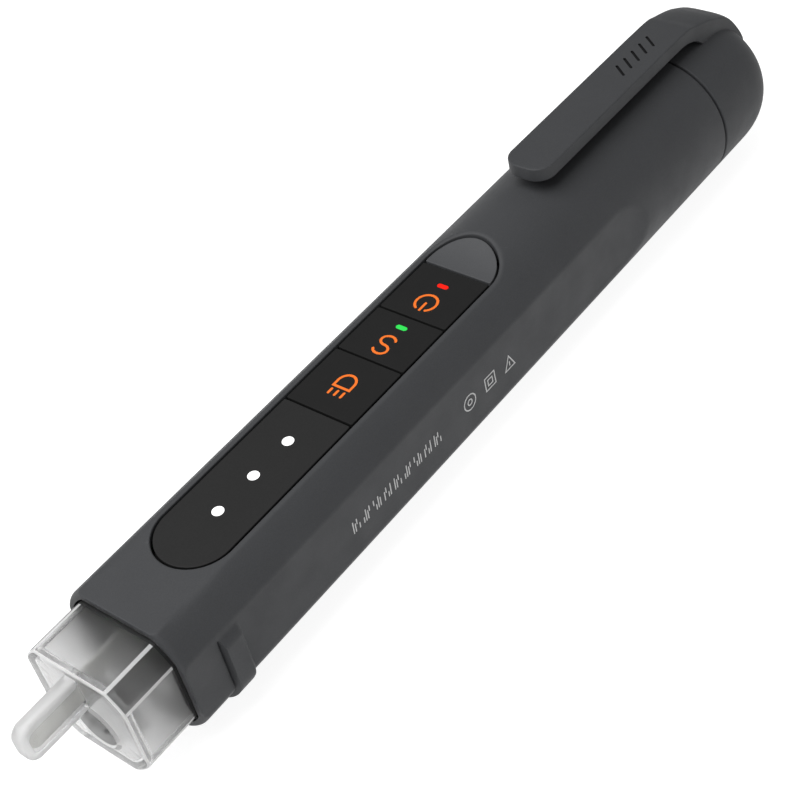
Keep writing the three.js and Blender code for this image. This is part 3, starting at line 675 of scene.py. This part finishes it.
def insert_piece(name, x0, x1, material, spine_half=(0.0, 0.0), edge=0.12, steps=4, sharp_deg=FLAT_TOP):
    """A piece that fills the slot from x0 to x1, with a neck and a wider flange under it."""
    outline = insert_outline(x0, x1)
    middle = (x0 + x1) / 2
    long_half, wide_half = spine_half
    spine = np.stack([np.clip(outline[:, 0], middle - long_half, middle + long_half),
                      np.clip(outline[:, 1], -wide_half, wide_half)], 1)
    normal = inward(outline)
    rings = []

    def ring(uv, z):
        rings.append(np.stack([uv[:, 0], uv[:, 1], z + 0 * uv[:, 0]], 1))

    shoulder = outline + normal * edge
    for f in (*np.linspace(1, 0, steps + 1)[:-1], 0.03):
        uv = shoulder + (spine - shoulder) * f
        ring(uv, insert_top(*uv.T))
    for across, along in reversed(quarter(4)):
        uv = outline + normal * across * edge
        ring(uv, insert_top(*uv.T) - along * edge)
    ring(outline, INSERT_BOTTOM)
    neck = outline + normal * NECK_INSET
    neck[:, 0] = np.clip(neck[:, 0], x0 + NECK_INSET, x1 - NECK_INSET)
    ring(neck, INSERT_BOTTOM)
    ring(neck, FLANGE_TOP)
    flange = np.stack([np.clip(outline[:, 0], x0 + FLANGE_GAP, x1 - FLANGE_GAP),
                       outline[:, 1] * FLANGE_HALF / (SLOT_HALF - SEAM)], 1)
    ring(flange, FLANGE_TOP)
    ring(flange, FLANGE_BOTTOM)
    ring(spine, FLANGE_BOTTOM)
    return build(name, Shape().grid(rings, wrap=True), material, sharp_deg)


LIGHT_HALF, LIGHT_RUN = 0.37, 0.53  # half-width and half the straight run of a key's light
WINDOW_TOP = TOP_FLAT - INSERT_DROP + 0.03
WINDOW_GAP, HOLE_TOP, HOLE_BOTTOM = 0.04, 12, 5  # a window's hole is that much wider, and goes right through
SENSE_LIGHT_X, POWER_LIGHT_X = 56.3, 65.7


def window(name, x, y_half, half, top, bottom, material):
    """A light window: a capsule in plan (a disc where y_half is 0) with rounded edges."""
    outline = [(x + half * cos(a), y_half + half * sin(a)) for a in np.linspace(0, pi, 17)]
    outline += [(x + half * cos(a), -y_half + half * sin(a)) for a in np.linspace(pi, 2 * pi, 17)]
    outline = np.array(outline[:-1] if y_half == 0 else outline)
    spine = np.stack([np.full(len(outline), x), np.clip(outline[:, 1], -y_half, y_half)], 1)
    return build(name, pillow(outline, spine, plan_at(0), level(top), level(bottom), 0.05, 0.02, (0.3, 1.0)),
                 material)


def cut_window(piece, x, y_half, half, material):
    hole = window("tool", x, y_half, half + WINDOW_GAP, HOLE_TOP, HOLE_BOTTOM, material)
    carve(piece, hole, sharp_deg=FLAT_TOP)


panel = insert_piece("panel_film", SLOT_FRONT_X - SLOT_HALF + SEAM, PANEL_END - SEAM / 2, PANEL, (9.0, 0.0))
for i, x in enumerate(DOTS):
    cut_window(panel, x, 0.0, DOT_R, PANEL)
    dot = window(f"dot_window_{i + 1}", x, 0.0, DOT_R, WINDOW_TOP, FLANGE_BOTTOM - 0.9, WHITE_GLOW)
    place(dot, "body", "light_pipe", f"light_pipe_{i + 1}")
place(panel, "body", "panel", "indicator_panel")

KEYS = (  # name, start, end, and the place, material and slot of its light
    ("torch", PANEL_END, TORCH_END, None, None, None),
    ("sensitivity", TORCH_END, SENSE_END, SENSE_LIGHT_X, GREEN_GLOW, "green_light"),
    ("power", SENSE_END, POWER_END, POWER_LIGHT_X, RED_GLOW, "red_light"),
)
for name, x0, x1, light_x, glow, light_slot in KEYS:
    key = insert_piece(f"{name}_key_cap", x0 + SEAM / 2, x1 - SEAM / 2, KEY, (0.0, 1.8), steps=6)
    if light_x:
        cut_window(key, light_x, LIGHT_RUN, LIGHT_HALF, KEY)
        lit = window(f"{name}_window", light_x, LIGHT_RUN, LIGHT_HALF, WINDOW_TOP, FLANGE_BOTTOM, glow)
        place(lit, f"{name}_key_body", light_slot, f"{name}_light")
    place(key, f"{name}_key_body", "key", f"{name}_key")

rest = insert_piece("thumb_rest_scoop", POWER_END + SEAM / 2, REST_END - SEAM, REST_PAINTED_LIGHT, (0.0, 4.2),
                    steps=14, sharp_deg=50)
place(rest, "body", "thumb_rest", "thumb_rest")


# ---- Printed marks: thin closed ribbons that stand a little proud of their surface ----
def ribbon(shape, path, width, place_at, closed=False, lift=0.03, sink=0.05):
    """Adds a stroke with round ends (or a closed loop) along a (n, 2) path; place_at is as in pillow."""
    path = np.array(path, float)
    if closed:
        before, after = np.roll(path, 1, 0), np.roll(path, -1, 0)
    else:
        before, after = np.vstack([path[0], path[:-1]]), np.vstack([path[1:], path[-1]])
    a = path - before
    b = after - path
    a = np.where(norms(a) < 1e-9, b, a)
    b = np.where(norms(b) < 1e-9, a, b)
    a /= norms(a)
    b /= norms(b)
    mean = a + b
    size = norms(mean)
    mean /= size
    across = np.stack([-mean[:, 1], mean[:, 0]], 1) / np.maximum(size / 2, 0.5)
    centres, offsets = list(path), list(across * width / 2)
    if not closed:
        for t in np.linspace(0, pi / 2, 6)[1:]:
            centres.append(path[-1] + b[-1] * width / 2 * sin(t))
            offsets.append(across[-1] * width / 2 * cos(t))
            centres.insert(0, path[0] - a[0] * width / 2 * sin(t))
            offsets.insert(0, across[0] * width / 2 * cos(t))
    centres, offsets = np.array(centres), np.array(offsets)
    left, right = centres + offsets, centres - offsets
    corners = ((left, lift), (right, lift), (right, -sink), (left, -sink), (left, lift))
    shape.grid([place_at(*side.T, height + 0 * side[:, 0]) for side, height in corners], wrap=closed)


def on_side(u, v, h):
    return np.stack([u, -SIDE_FLAT - h, v], 1)


def arc(cx, cy, r, a0, a1, n, ry=None):
    """n points from angle a0 to a1, in degrees; ry is the other radius of an ellipse."""
    angles = np.radians(np.linspace(a0, a1, n))
    return np.stack([cx + r * np.cos(angles), cy + (ry or r) * np.sin(angles)], 1)


on_key = plan_at(TOP_FLAT - INSERT_DROP)
STROKE, THIN = 0.38, 0.19  # widths of the key symbols' lines and of the side marks'
LAMP_X, LAMP_R, LAMP_HALF, LAMP_NECK = 44.25, 1.45, 1.35, 1.0
RAY_START, RAY_END, RAY_GAP = 42.55, 41.75, 1.05
WAVE_X, WAVE_R, WAVE_SPREAD = 52.5, 0.88, 1.25
POWER_X, POWER_R = 61.9, 1.6

lamp = Shape()
bulb = arc(LAMP_X, 0, LAMP_R, -90, 90, 25, LAMP_HALF)
neck = [[(LAMP_X - x, side * LAMP_HALF) for x in (LAMP_NECK, 0.05)] for side in (-1, 1)]
ribbon(lamp, np.concatenate([neck[0], bulb, neck[1][::-1]]), STROKE, on_key, closed=True)
for y in (-RAY_GAP, 0, RAY_GAP):
    ribbon(lamp, [(RAY_START, y), (RAY_END, y)], STROKE, on_key)
place(build("torch_symbol", lamp, ORANGE), "torch_key_body", "key")

wave = Shape()
bends = np.concatenate([arc(0, WAVE_R, WAVE_R, 20, 270, 28), arc(0, -WAVE_R, WAVE_R, 90, -160, 28)[1:]])
ribbon(wave, np.stack([WAVE_X - bends[:, 1], bends[:, 0] * WAVE_SPREAD], 1), STROKE, on_key)
place(build("sensitivity_symbol", wave, ORANGE), "sensitivity_key_body", "key")

power = Shape()
ribbon(power, arc(POWER_X, 0, POWER_R, -150, 150, 44), STROKE, on_key)
ribbon(power, [(POWER_X - 0.1, 0), (POWER_X - POWER_R, 0)], STROKE, on_key)
place(build("power_symbol", power, ORANGE), "power_key_body", "key")

# Side marks: nine blocks of plain ticks where the photograph has a line of text, and three plain symbols.
MARKS_START, TICK_GAP, BLOCK_GAP, LEAN = 30.3, 0.42, 2.18, 0.07
MARK_LOW, MARK_HIGH = -1.2, 0.6
MARK_MID = (MARK_LOW + MARK_HIGH) / 2
TICKS = ((MARK_LOW, MARK_HIGH), (MARK_LOW, MARK_MID - 0.15),
         (MARK_MID + 0.15, MARK_HIGH), (MARK_LOW, MARK_MID + 0.4))
RING_AT, SQUARE_AT, TRIANGLE_AT, SYMBOL_HALF = (55.9, -0.1), (60.6, -0.15), (65.1, -0.35), 1.1

marks = Shape()
for block in range(9):
    for i in range(4):
        low, high = TICKS[(block + i * 3) % len(TICKS)]
        u = MARKS_START + block * BLOCK_GAP + i * TICK_GAP
        ribbon(marks, [(u, low), (u + LEAN * (high - low), high)], THIN, on_side)
for r in (1.25, 0.45):
    ribbon(marks, arc(*RING_AT, r, 0, 350, 40), THIN, on_side, closed=True)
for half in (SYMBOL_HALF, 0.5):
    square = np.array([(-1, -1), (1, -1), (1, 1), (-1, 1)]) * half + SQUARE_AT
    ribbon(marks, square, THIN, on_side, closed=True)
triangle = np.array([(-1, -1), (1, -1), (0, 1)]) * SYMBOL_HALF + TRIANGLE_AT
ribbon(marks, triangle, THIN, on_side, closed=True)
ribbon(marks, np.array([(0, -0.6), (0, 0)]) + TRIANGLE_AT, THIN, on_side)
place(build("side_marks", marks, PALE_INK), "body", "housing")


# ---- Clear head ----
CREASE_HIGH = asin(HEAD_TOP / HEAD_R)
CREASE_SIDE = acos(HEAD_SIDE / HEAD_R)
CREASE_LOW = asin(HEAD_SIDE / HEAD_R)
RIDGE_ANGLES = [degrees(a) for a in (CREASE_SIDE / 2, (CREASE_HIGH + pi / 2) / 2, (CREASE_LOW + pi / 2) / 2)]
RIDGE_HALF, RIDGE_SPREAD = 0.26, 5  # a ridge's half-width, and the degrees each side of it that take the painted edge highlight
HEAD_CREASE = 0.03
HEAD_FILLET, HOLLOW_FILLET, HOLLOW_RIDGE = 0.45, 0.5, 0.6
MOUTH_SHADE = -0.35  # from here back the head lies in the housing's shade
BLADE_RIM, BLADE_LINE = 0.85, 0.2  # widths of the rim with the painted highlight, and of the painted highlight line inside it
BLADE_ROUND, BLADE_WALL, BLADE_SKIN = 0.4, 0.85, 0.5
COLLAR_R, COLLAR_BACK, BORE_FLARE, BORE_BACK = TORCH_R + 0.8, -4.4, 0.22, -4.0


def head_section(inset, ridge=1.0, samples=240):
    """(y, z) of the head's section, all faces moved in by inset. The creases are narrow flats."""
    phi = np.linspace(0, 2 * pi, samples, endpoint=False) + 0.003
    extra = []
    for c in (CREASE_SIDE, CREASE_HIGH):
        for base in (c, pi - c, -c, pi + c):
            extra.append(base + np.radians(np.linspace(-3.4, 3.4, 18)))
    phi = np.unique(np.round(np.mod(np.concatenate([phi, *extra]), 2 * pi), 5))
    c, s = np.cos(phi), np.sin(phi)
    r = faceted(HEAD_R - inset, HEAD_SIDE - inset, HEAD_SIDE - inset, c, s, HEAD_CREASE)
    r = smooth_min(r, facet_reach(HEAD_TOP - inset, s), HEAD_CREASE)
    for crease_at, flat_at in ((CREASE_HIGH, pi / 2), (CREASE_SIDE, 0.0),
                               (-CREASE_SIDE, 0.0), (-CREASE_LOW, -pi / 2)):
        middle = (crease_at + flat_at) / 2
        lean = abs(crease_at - flat_at) / 2
        depth = RIDGE_HALF * tan(lean) * ridge
        distance = HEAD_R * cos(lean) - depth - inset
        for direction in (middle, pi - middle):
            r = smooth_min(r, facet_reach(distance, np.cos(phi - direction)), HEAD_CREASE)
    return np.stack([r * c, r * s], 1)


def head_loft(stations, ridge=1.0):
    """A closed body through (x, inset) stations, its two ends closed by rings that shrink to the axis."""
    shrink = (0.0, 0.35, 0.7)

    def ring(station, scale=1.0):
        section = head_section(station[1], ridge) * scale
        return np.column_stack([np.full(len(section), station[0]), section])

    rings = [ring(stations[0], f) for f in shrink] + [ring(station) for station in stations]
    rings += [ring(stations[-1], f) for f in shrink[::-1]]
    return Shape().grid(rings, wrap=True)


def rounded_stations(x0, x1, r, inset=0.0):
    """Stations of a body whose front edge at x0 has the fillet r."""
    fillet = [(x0 + along * r, inset + across * r) for across, along in reversed(quarter(5))]
    return fillet + [(MOUTH_SHADE, inset), (x1, inset)]


def blade_shape(inset, half, root_x, edge):
    """The probe blade, drawn smaller by inset, from its round tip back to root_x."""
    low, high, tip = BLADE_LOW + inset, BLADE_HIGH - inset, BLADE_TIP + inset
    r = BLADE_CORNER - inset * 0.6
    outline = [(x, high) for x in np.linspace(root_x, tip + r, 12)]
    outline += [tuple(p) for p in arc(tip + r, high - r, r, 90, 180, 14)[1:]]
    outline += [tuple(p) for p in arc(tip + r, low + r, r, 180, 270, 14)]
    outline += [(x, low) for x in np.linspace(tip + r, root_x, 12)[1:]]
    outline = np.array(outline)
    reach = (high - low) / 2
    spine = np.stack([np.clip(outline[:, 0], tip + reach, root_x - reach),
                      np.full(len(outline), (low + high) / 2)], 1)
    # two rings of edges: the border of the rim with the painted highlight, and of the thin painted highlight
    # line inside it
    rim, line = ((BLADE_RIM + more - edge) / (reach - edge) for more in (0, BLADE_LINE))
    return pillow(outline, spine, lambda u, v, h: np.stack([u, h, v], 1), level(half), level(-half),
                  edge, edge, (0.03, rim, line, 0.6, 1.0))


def lathe(profile, z=0.0, n=180):
    """A turned body from (x, radius) points, its axis along X at height z."""
    turn = np.linspace(0, 2 * pi, n, endpoint=False)
    rows = [np.stack([np.full(n, x), r * np.cos(turn), z + r * np.sin(turn)], 1) for x, r in profile]
    return Shape().grid(rows, wrap=True)


def torch_tool(profile):
    """A tool on the torch's axis, closed at its two ends."""
    closed = [(profile[0][0], 0.0), *profile, (profile[-1][0], 0.0)]
    return build("tool", lathe(closed, TORCH_Z, 64), CLEAR)


head = build("clear_head_shell", head_loft(rounded_stations(HEAD_FRONT, HEAD_BACK, HEAD_FILLET)), CLEAR, 30)
blade = blade_shape(0, BLADE_HALF, HEAD_FRONT + 0.6, BLADE_ROUND)
carve(head, build("tool", blade, CLEAR), "UNION", 30)
hollow_stations = rounded_stations(HEAD_FRONT + HEAD_WALL, HEAD_BACK + 1, HOLLOW_FILLET, HEAD_WALL)
hollow = build("tool_hollow", head_loft(hollow_stations, HOLLOW_RIDGE), CLEAR)
carve(hollow, torch_tool([(HEAD_FRONT + 0.3, COLLAR_R), (COLLAR_BACK, COLLAR_R)]))
carve(head, hollow, sharp_deg=30)
slit = blade_shape(BLADE_WALL, BLADE_HALF - BLADE_SKIN, HEAD_FRONT + HEAD_WALL + 0.4, 0.15)
carve(head, build("tool", slit, CLEAR), sharp_deg=30)
mouth_r = TORCH_R + BORE_FLARE
carve(head, torch_tool([(HEAD_FRONT - 1, mouth_r), (HEAD_FRONT, mouth_r), (HEAD_FRONT + BORE_FLARE, TORCH_R),
                        (BORE_BACK, TORCH_R)]), sharp_deg=30)


def blade_depth(x, z):
    """How far inside the blade's outline a point of its flat faces lies."""
    r = BLADE_CORNER
    dx = max(BLADE_TIP + r - x, 0)
    dz = max(BLADE_LOW + r - z, z - BLADE_HIGH + r, 0)
    return r - hypot(dx, dz)


def head_finish(centre, normal):
    """Which of HEAD_MATERIALS a face takes."""
    x, y, z = centre
    near = 0.02
    radial = hypot(y, z + 1e-9)
    if x < HEAD_FRONT - near:  # the blade
        if abs(normal[1]) < 0.9 or blade_depth(x, z) < BLADE_RIM:
            return BLADE_EDGE_HIGHLIGHT
        return EDGE_HIGHLIGHT if blade_depth(x, z) < BLADE_RIM + BLADE_LINE else BLADE
    if hypot(y, z - TORCH_Z) < mouth_r + near:  # the torch's bore
        # the bore's wall takes the painted shade, the lip at its mouth the painted highlight
        return EDGE_HIGHLIGHT if abs(normal[0]) > 0.3 else BORE_SHADE
    if x > HEAD_FRONT + 0.7 and (normal[1] * y + normal[2] * z) / radial < 0.1:  # it faces the hollow
        return FROSTED
    if x > MOUTH_SHADE:
        return SHADE
    if 0.35 < abs(normal[0]) < 0.92 and x < HEAD_FRONT + 0.6 and radial > 7:  # the front fillet
        return EDGE_HIGHLIGHT
    if abs(normal[0]) > 0.5:  # the front face
        return CLEAR
    angle = degrees(atan2(abs(normal[2]), abs(normal[1])))
    if min(abs(angle - a) for a in RIDGE_ANGLES) < RIDGE_SPREAD:
        return EDGE_HIGHLIGHT
    # the upper rounded corners take the painted shade
    return CORNER_SHADE if z > 0 and RIDGE_ANGLES[0] < angle < RIDGE_ANGLES[1] else CLEAR


HEAD_MATERIALS = (CLEAR, FROSTED, EDGE_HIGHLIGHT, BORE_SHADE, BLADE_EDGE_HIGHLIGHT, BLADE, CORNER_SHADE, SHADE)
paint(head, *HEAD_MATERIALS)
for face in head.data.polygons:
    finish = head_finish((np.array(face.center) - ORIGIN) / MM, face.normal)
    face.material_index = HEAD_MATERIALS.index(finish)
place(head, "body", "clear_head", "clear_head")


# ---- Tail cap ----
CAP_ROUND, SPIGOT_LEAD, DOME_WALL = 0.2, 0.4, 2.2


def dome(x1, r, steps):
    """(x, radius) points of a superellipse from the end of the round part to the axis at x1."""
    angles = np.linspace(0, pi / 2, steps + 1)[:-1]
    return [(DOME_X + (x1 - DOME_X) * sin(a) ** (2 / DOME_POWER), r * cos(a) ** (2 / DOME_POWER))
            for a in angles] + [(x1, 0.0)]


cap_profile = dome(CAP_END, BODY_R, 40)[::-1]
cap_profile += [(x, BODY_R) for x in (127.5, 125, CAP_START + 0.4)]
cap_profile += [(CAP_START + CAP_ROUND * along, BODY_R - CAP_ROUND * across) for across, along in quarter(4)]
cap_profile += [(CAP_START, SPIGOT_R), (SPIGOT_START + SPIGOT_LEAD, SPIGOT_R),
                (SPIGOT_START, SPIGOT_R - SPIGOT_LEAD), (SPIGOT_START, SPIGOT_INNER),
                (CAP_LEDGE, SPIGOT_INNER), (CAP_LEDGE, CAVITY_R)]
cap_profile += dome(CAP_END - DOME_WALL, CAVITY_R, 16)
place(build("tail_cap_shell", lathe(cap_profile), CAP, 40), "tail_cap_body", "tail_cap", "tail_cap")


# ---- Pocket clip: one band from its tip to the top of the dome, bending at its root ----
def sample(line, length, wanted):
    """Points of a (n, 2) line at the wanted lengths; length holds its own points' lengths."""
    return np.stack([np.interp(wanted, length, line[:, i]) for i in (0, 1)], 1)


def through(points, samples):
    """A smooth line through points (Catmull-Rom), evenly resampled: its samples' lengths and its points."""
    points = np.array(points, float)
    padded = np.vstack([2 * points[0] - points[1], points, 2 * points[-1] - points[-2]])
    dense = []
    for p0, p1, p2, p3 in zip(padded, padded[1:], padded[2:], padded[3:]):
        t = np.linspace(0, 1, 24, endpoint=False)[:, None]
        dense.append(0.5 * (2 * p1 + (p2 - p0) * t + (2 * p0 - 5 * p1 + 4 * p2 - p3) * t ** 2
                            + (3 * p1 - p0 - 3 * p2 + p3) * t ** 3))
    dense = np.vstack([*dense, points[-1]])
    length = np.concatenate([[0], np.cumsum(np.linalg.norm(np.diff(dense, axis=0), axis=1))])
    wanted = np.linspace(0, length[-1], samples)
    return wanted, sample(dense, length, wanted)


CLIP_HIGH, CLIP_LOW, ARM_X, ARM_END = 15.35, 13.18, (CLIP_TIP, 95, 105, 115), 121.0  # the straight arm
CLIP_TOP = (*((x, CLIP_HIGH) for x in ARM_X), (121, 15.34), (125.3, 15.18), (127.3, 14.68),
            (129.4, 14.08), (131.2, 13.5), (133, 12.75), (136.2, 10.95), (138.4, 8.1), (139.8, 5.3),
            (140.2, 3.0), (139.9, 1.2))
CLIP_UNDER = (*((x, CLIP_LOW) for x in ARM_X), (121.5, 13.16), (124.5, 13.0), (127, 12.2), (128.6, 10.9),
              (130.5, 9.3), (133, 8.0), (135.2, 6.4), (136.6, 4.0), (137.0, 1.2))
BAND_X = (125.0, 129.0, 133.0, 137.0, 140.0)  # along the band: how far its middle bulges, and its half-width
BAND_BULGE = (0.0, 0.35, 0.42, 0.55, 0.4)
BAND_HALF = (3.72, 3.83, 3.93, 4.0, 4.85)
BAND_DIVE, DIVE_RUN = 1.5, 5.0  # how far the band's hidden end sinks into the dome, over its last DIVE_RUN
SPARSE_END, ROOT_ROUND, SPINE_GAP = 34, 3.4, 3.6  # lengths along the top line
TOP_EDGE, UNDER_EDGE = 0.22, 0.2
BARS, BAR_START, BAR_STEP, BAR_HALF, BAR_LEAN, BAR_WIDTH = 5, 111.2, 2.1, 1.1, 1.6, 0.42
SAMPLES = 400
clip_s, clip_top = through(CLIP_TOP, SAMPLES)
_, clip_under = through(CLIP_UNDER, SAMPLES)
# pair the two lines by x on the straight arm and by their own length beyond it
arm_top, arm_under = (np.searchsorted(line[:, 0], ARM_END) for line in (clip_top, clip_under))
pair = np.concatenate([np.linspace(0, arm_under, arm_top, endpoint=False),
                       np.linspace(arm_under, SAMPLES - 1, SAMPLES - arm_top)])
clip_under = sample(clip_under, np.arange(SAMPLES), pair)


def softly(x, values):
    """The band's values at x, with the corners between its stations rounded off."""
    return sum(np.interp(x + 0.5 * i, BAND_X, values) for i in range(-6, 7)) / 13


def clip_bottom(u, v):
    """The height h of the under line: minus the clip's thickness at u."""
    return -np.linalg.norm(sample(clip_under, clip_s, u) - sample(clip_top, clip_s, u), axis=1)


def on_clip(u, v, h):
    """u is the length along the top line, v is across, and h is 0 on that line and negative below it."""
    top, under = sample(clip_top, clip_s, u), sample(clip_under, clip_s, u)
    f = h / clip_bottom(u, v)
    at = top + (under - top) * f[:, None]
    bulge = softly(top[:, 0], BAND_BULGE) * (1 - (v / CLIP_HALF) ** 4) * (1 - f)
    widen = softly(top[:, 0], BAND_HALF) / CLIP_HALF
    dive = BAND_DIVE * smooth_step((u - clip_s[-1] + DIVE_RUN) / DIVE_RUN)
    return np.stack([at[:, 0] - dive, v * widen, at[:, 1] + bulge], 1)


clip_length = clip_s[-1]
half_side = [(0.0, y) for y in np.linspace(0, CLIP_HALF - CLIP_CORNER, 4)[:-1]]
half_side += [tuple(p) for p in arc(CLIP_CORNER, CLIP_HALF - CLIP_CORNER, CLIP_CORNER, 180, 90, 18)]
half_side += [(u, CLIP_HALF) for u in np.linspace(CLIP_CORNER, SPARSE_END, 16)[1:]]
half_side += [(u, CLIP_HALF) for u in np.linspace(SPARSE_END, clip_length - ROOT_ROUND, 60)[1:]]
half_side += [tuple(p) for p in arc(clip_length - ROOT_ROUND, 0, ROOT_ROUND, 90, 0, 16, CLIP_HALF)[1:]]
clip_outline = np.array(half_side + [(u, -v) for u, v in half_side[::-1][1:-1]])
clip_spine = np.stack([np.clip(clip_outline[:, 0], SPINE_GAP, clip_length - SPINE_GAP),
                       np.zeros(len(clip_outline))], 1)
band = pillow(clip_outline, clip_spine, on_clip, level(0), clip_bottom, TOP_EDGE, UNDER_EDGE,
              (0.03, 0.12, 0.3, 0.6, 1.0))
clip = build("pocket_clip_band", band, CAP, 40)

# The engraved mark is replaced by plain slanted bars.
for i in range(BARS):
    x = BAR_START + BAR_STEP * i
    bar = Shape()
    ribbon(bar, [(x, -BAR_HALF), (x + BAR_LEAN, BAR_HALF)], BAR_WIDTH, plan_at(CLIP_HIGH), False, 0.4, 0.3)
    carve(clip, build("tool", bar, ENGRAVED), sharp_deg=40)
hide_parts("pocket_clip")
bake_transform(clip)


# ---- Materials of the CAD nodes that stay ----
FINISHES = {
    TIN: ("sensor_electrode",),
    LAMP: ("torch_led",),
    BRASS: ("front_contact", "return_strip", "tail_contact"),
    STEEL: ("tail_spring", "torch_switch", "sensitivity_switch", "power_switch"),
    INNER_BLACK: ("cell_cradle", "buzzer", "torch_plunger", "sensitivity_plunger", "power_plunger"),
    CHIP: ("microcontroller",),
    SMALL_LAMP: (*(f"indicator_led_{i + 1}" for i in range(3)), "sensitivity_led", "power_led", "alarm_led"),
    BOARD: ("circuit_board",),
    CELL: ("cell_front", "cell_rear"),
}
for material, names in FINISHES.items():
    for name in names:
        paint(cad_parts[name], material)


# ---- Floor, light and camera ----
FLOOR_GAP, FLOOR_HALF = 0.0003, 3.0  # metres
WORLD_STRENGTH, KEY_WATTS, FILL_WATTS = 0.39, 3.0, 0.06
LIGHT_AIM = (60, 0, 0)
# the photograph's own view: mm of lens, mm in the pen's frame, degrees
LENS, CAMERA_AT, CAMERA_TURN = 75.292, (-61.59, -124.94, 155.40), (46.314, 10.252, -52.131)


def floor_material():
    """White and mostly shining by itself, so that only a soft shadow shows on it."""
    p = Paint("studio_floor")
    tone = p.ramp(p.noise(60, 2), (0.97,) * 3, (1.0,) * 3)
    dim = p.ramp(p.noise(60, 2), (0.34,) * 3, (0.36,) * 3)
    return p.set(Base_Color=dim, Roughness=0.8, Specular_IOR_Level=0.1, Emission_Color=tone,
                 Emission_Strength=0.9)


bm = bmesh.new()
bmesh.ops.create_grid(bm, x_segments=8, y_segments=8, size=FLOOR_HALF)
floor_mesh = bpy.data.meshes.new("floor")
bm.to_mesh(floor_mesh)
bm.free()
floor_mesh.materials.append(floor_material())
floor = add_object("floor", floor_mesh)
floor.location.z = CAD_LOW.z - FLOOR_GAP
floor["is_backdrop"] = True

world = bpy.data.worlds.new("studio")
world.use_nodes = True
sky = world.node_tree.nodes["Background"].inputs
sky["Color"].default_value = (1, 1, 1, 1)
sky["Strength"].default_value = WORLD_STRENGTH
bpy.context.scene.world = world


def area_light(name, position_mm, aim_mm, size, watts):
    """A square soft light, size metres wide; position and aim are in the pen's frame."""
    data = bpy.data.lights.new(name, "AREA")
    data.size, data.energy = size, watts
    light = add_object(name, data)
    at = Vector(ORIGIN + np.array(position_mm) * MM)
    aim = Vector(ORIGIN + np.array(aim_mm) * MM)
    light.location = at
    light.rotation_euler = (aim - at).to_track_quat("-Z", "Y").to_euler()


area_light("key_light", (-120, 90, 440), LIGHT_AIM, 0.45, KEY_WATTS)
area_light("fill_light", (120, -420, 60), LIGHT_AIM, 0.5, FILL_WATTS)

camera_data = bpy.data.cameras.new("camera")
camera_data.lens = LENS
camera = add_object("camera", camera_data)
camera.location = Vector(ORIGIN + np.array(CAMERA_AT) * MM)
camera.rotation_euler = Euler([radians(a) for a in CAMERA_TURN])
bpy.context.scene.camera = camera
bpy.context.scene.view_settings.view_transform = "Standard"

low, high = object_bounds()
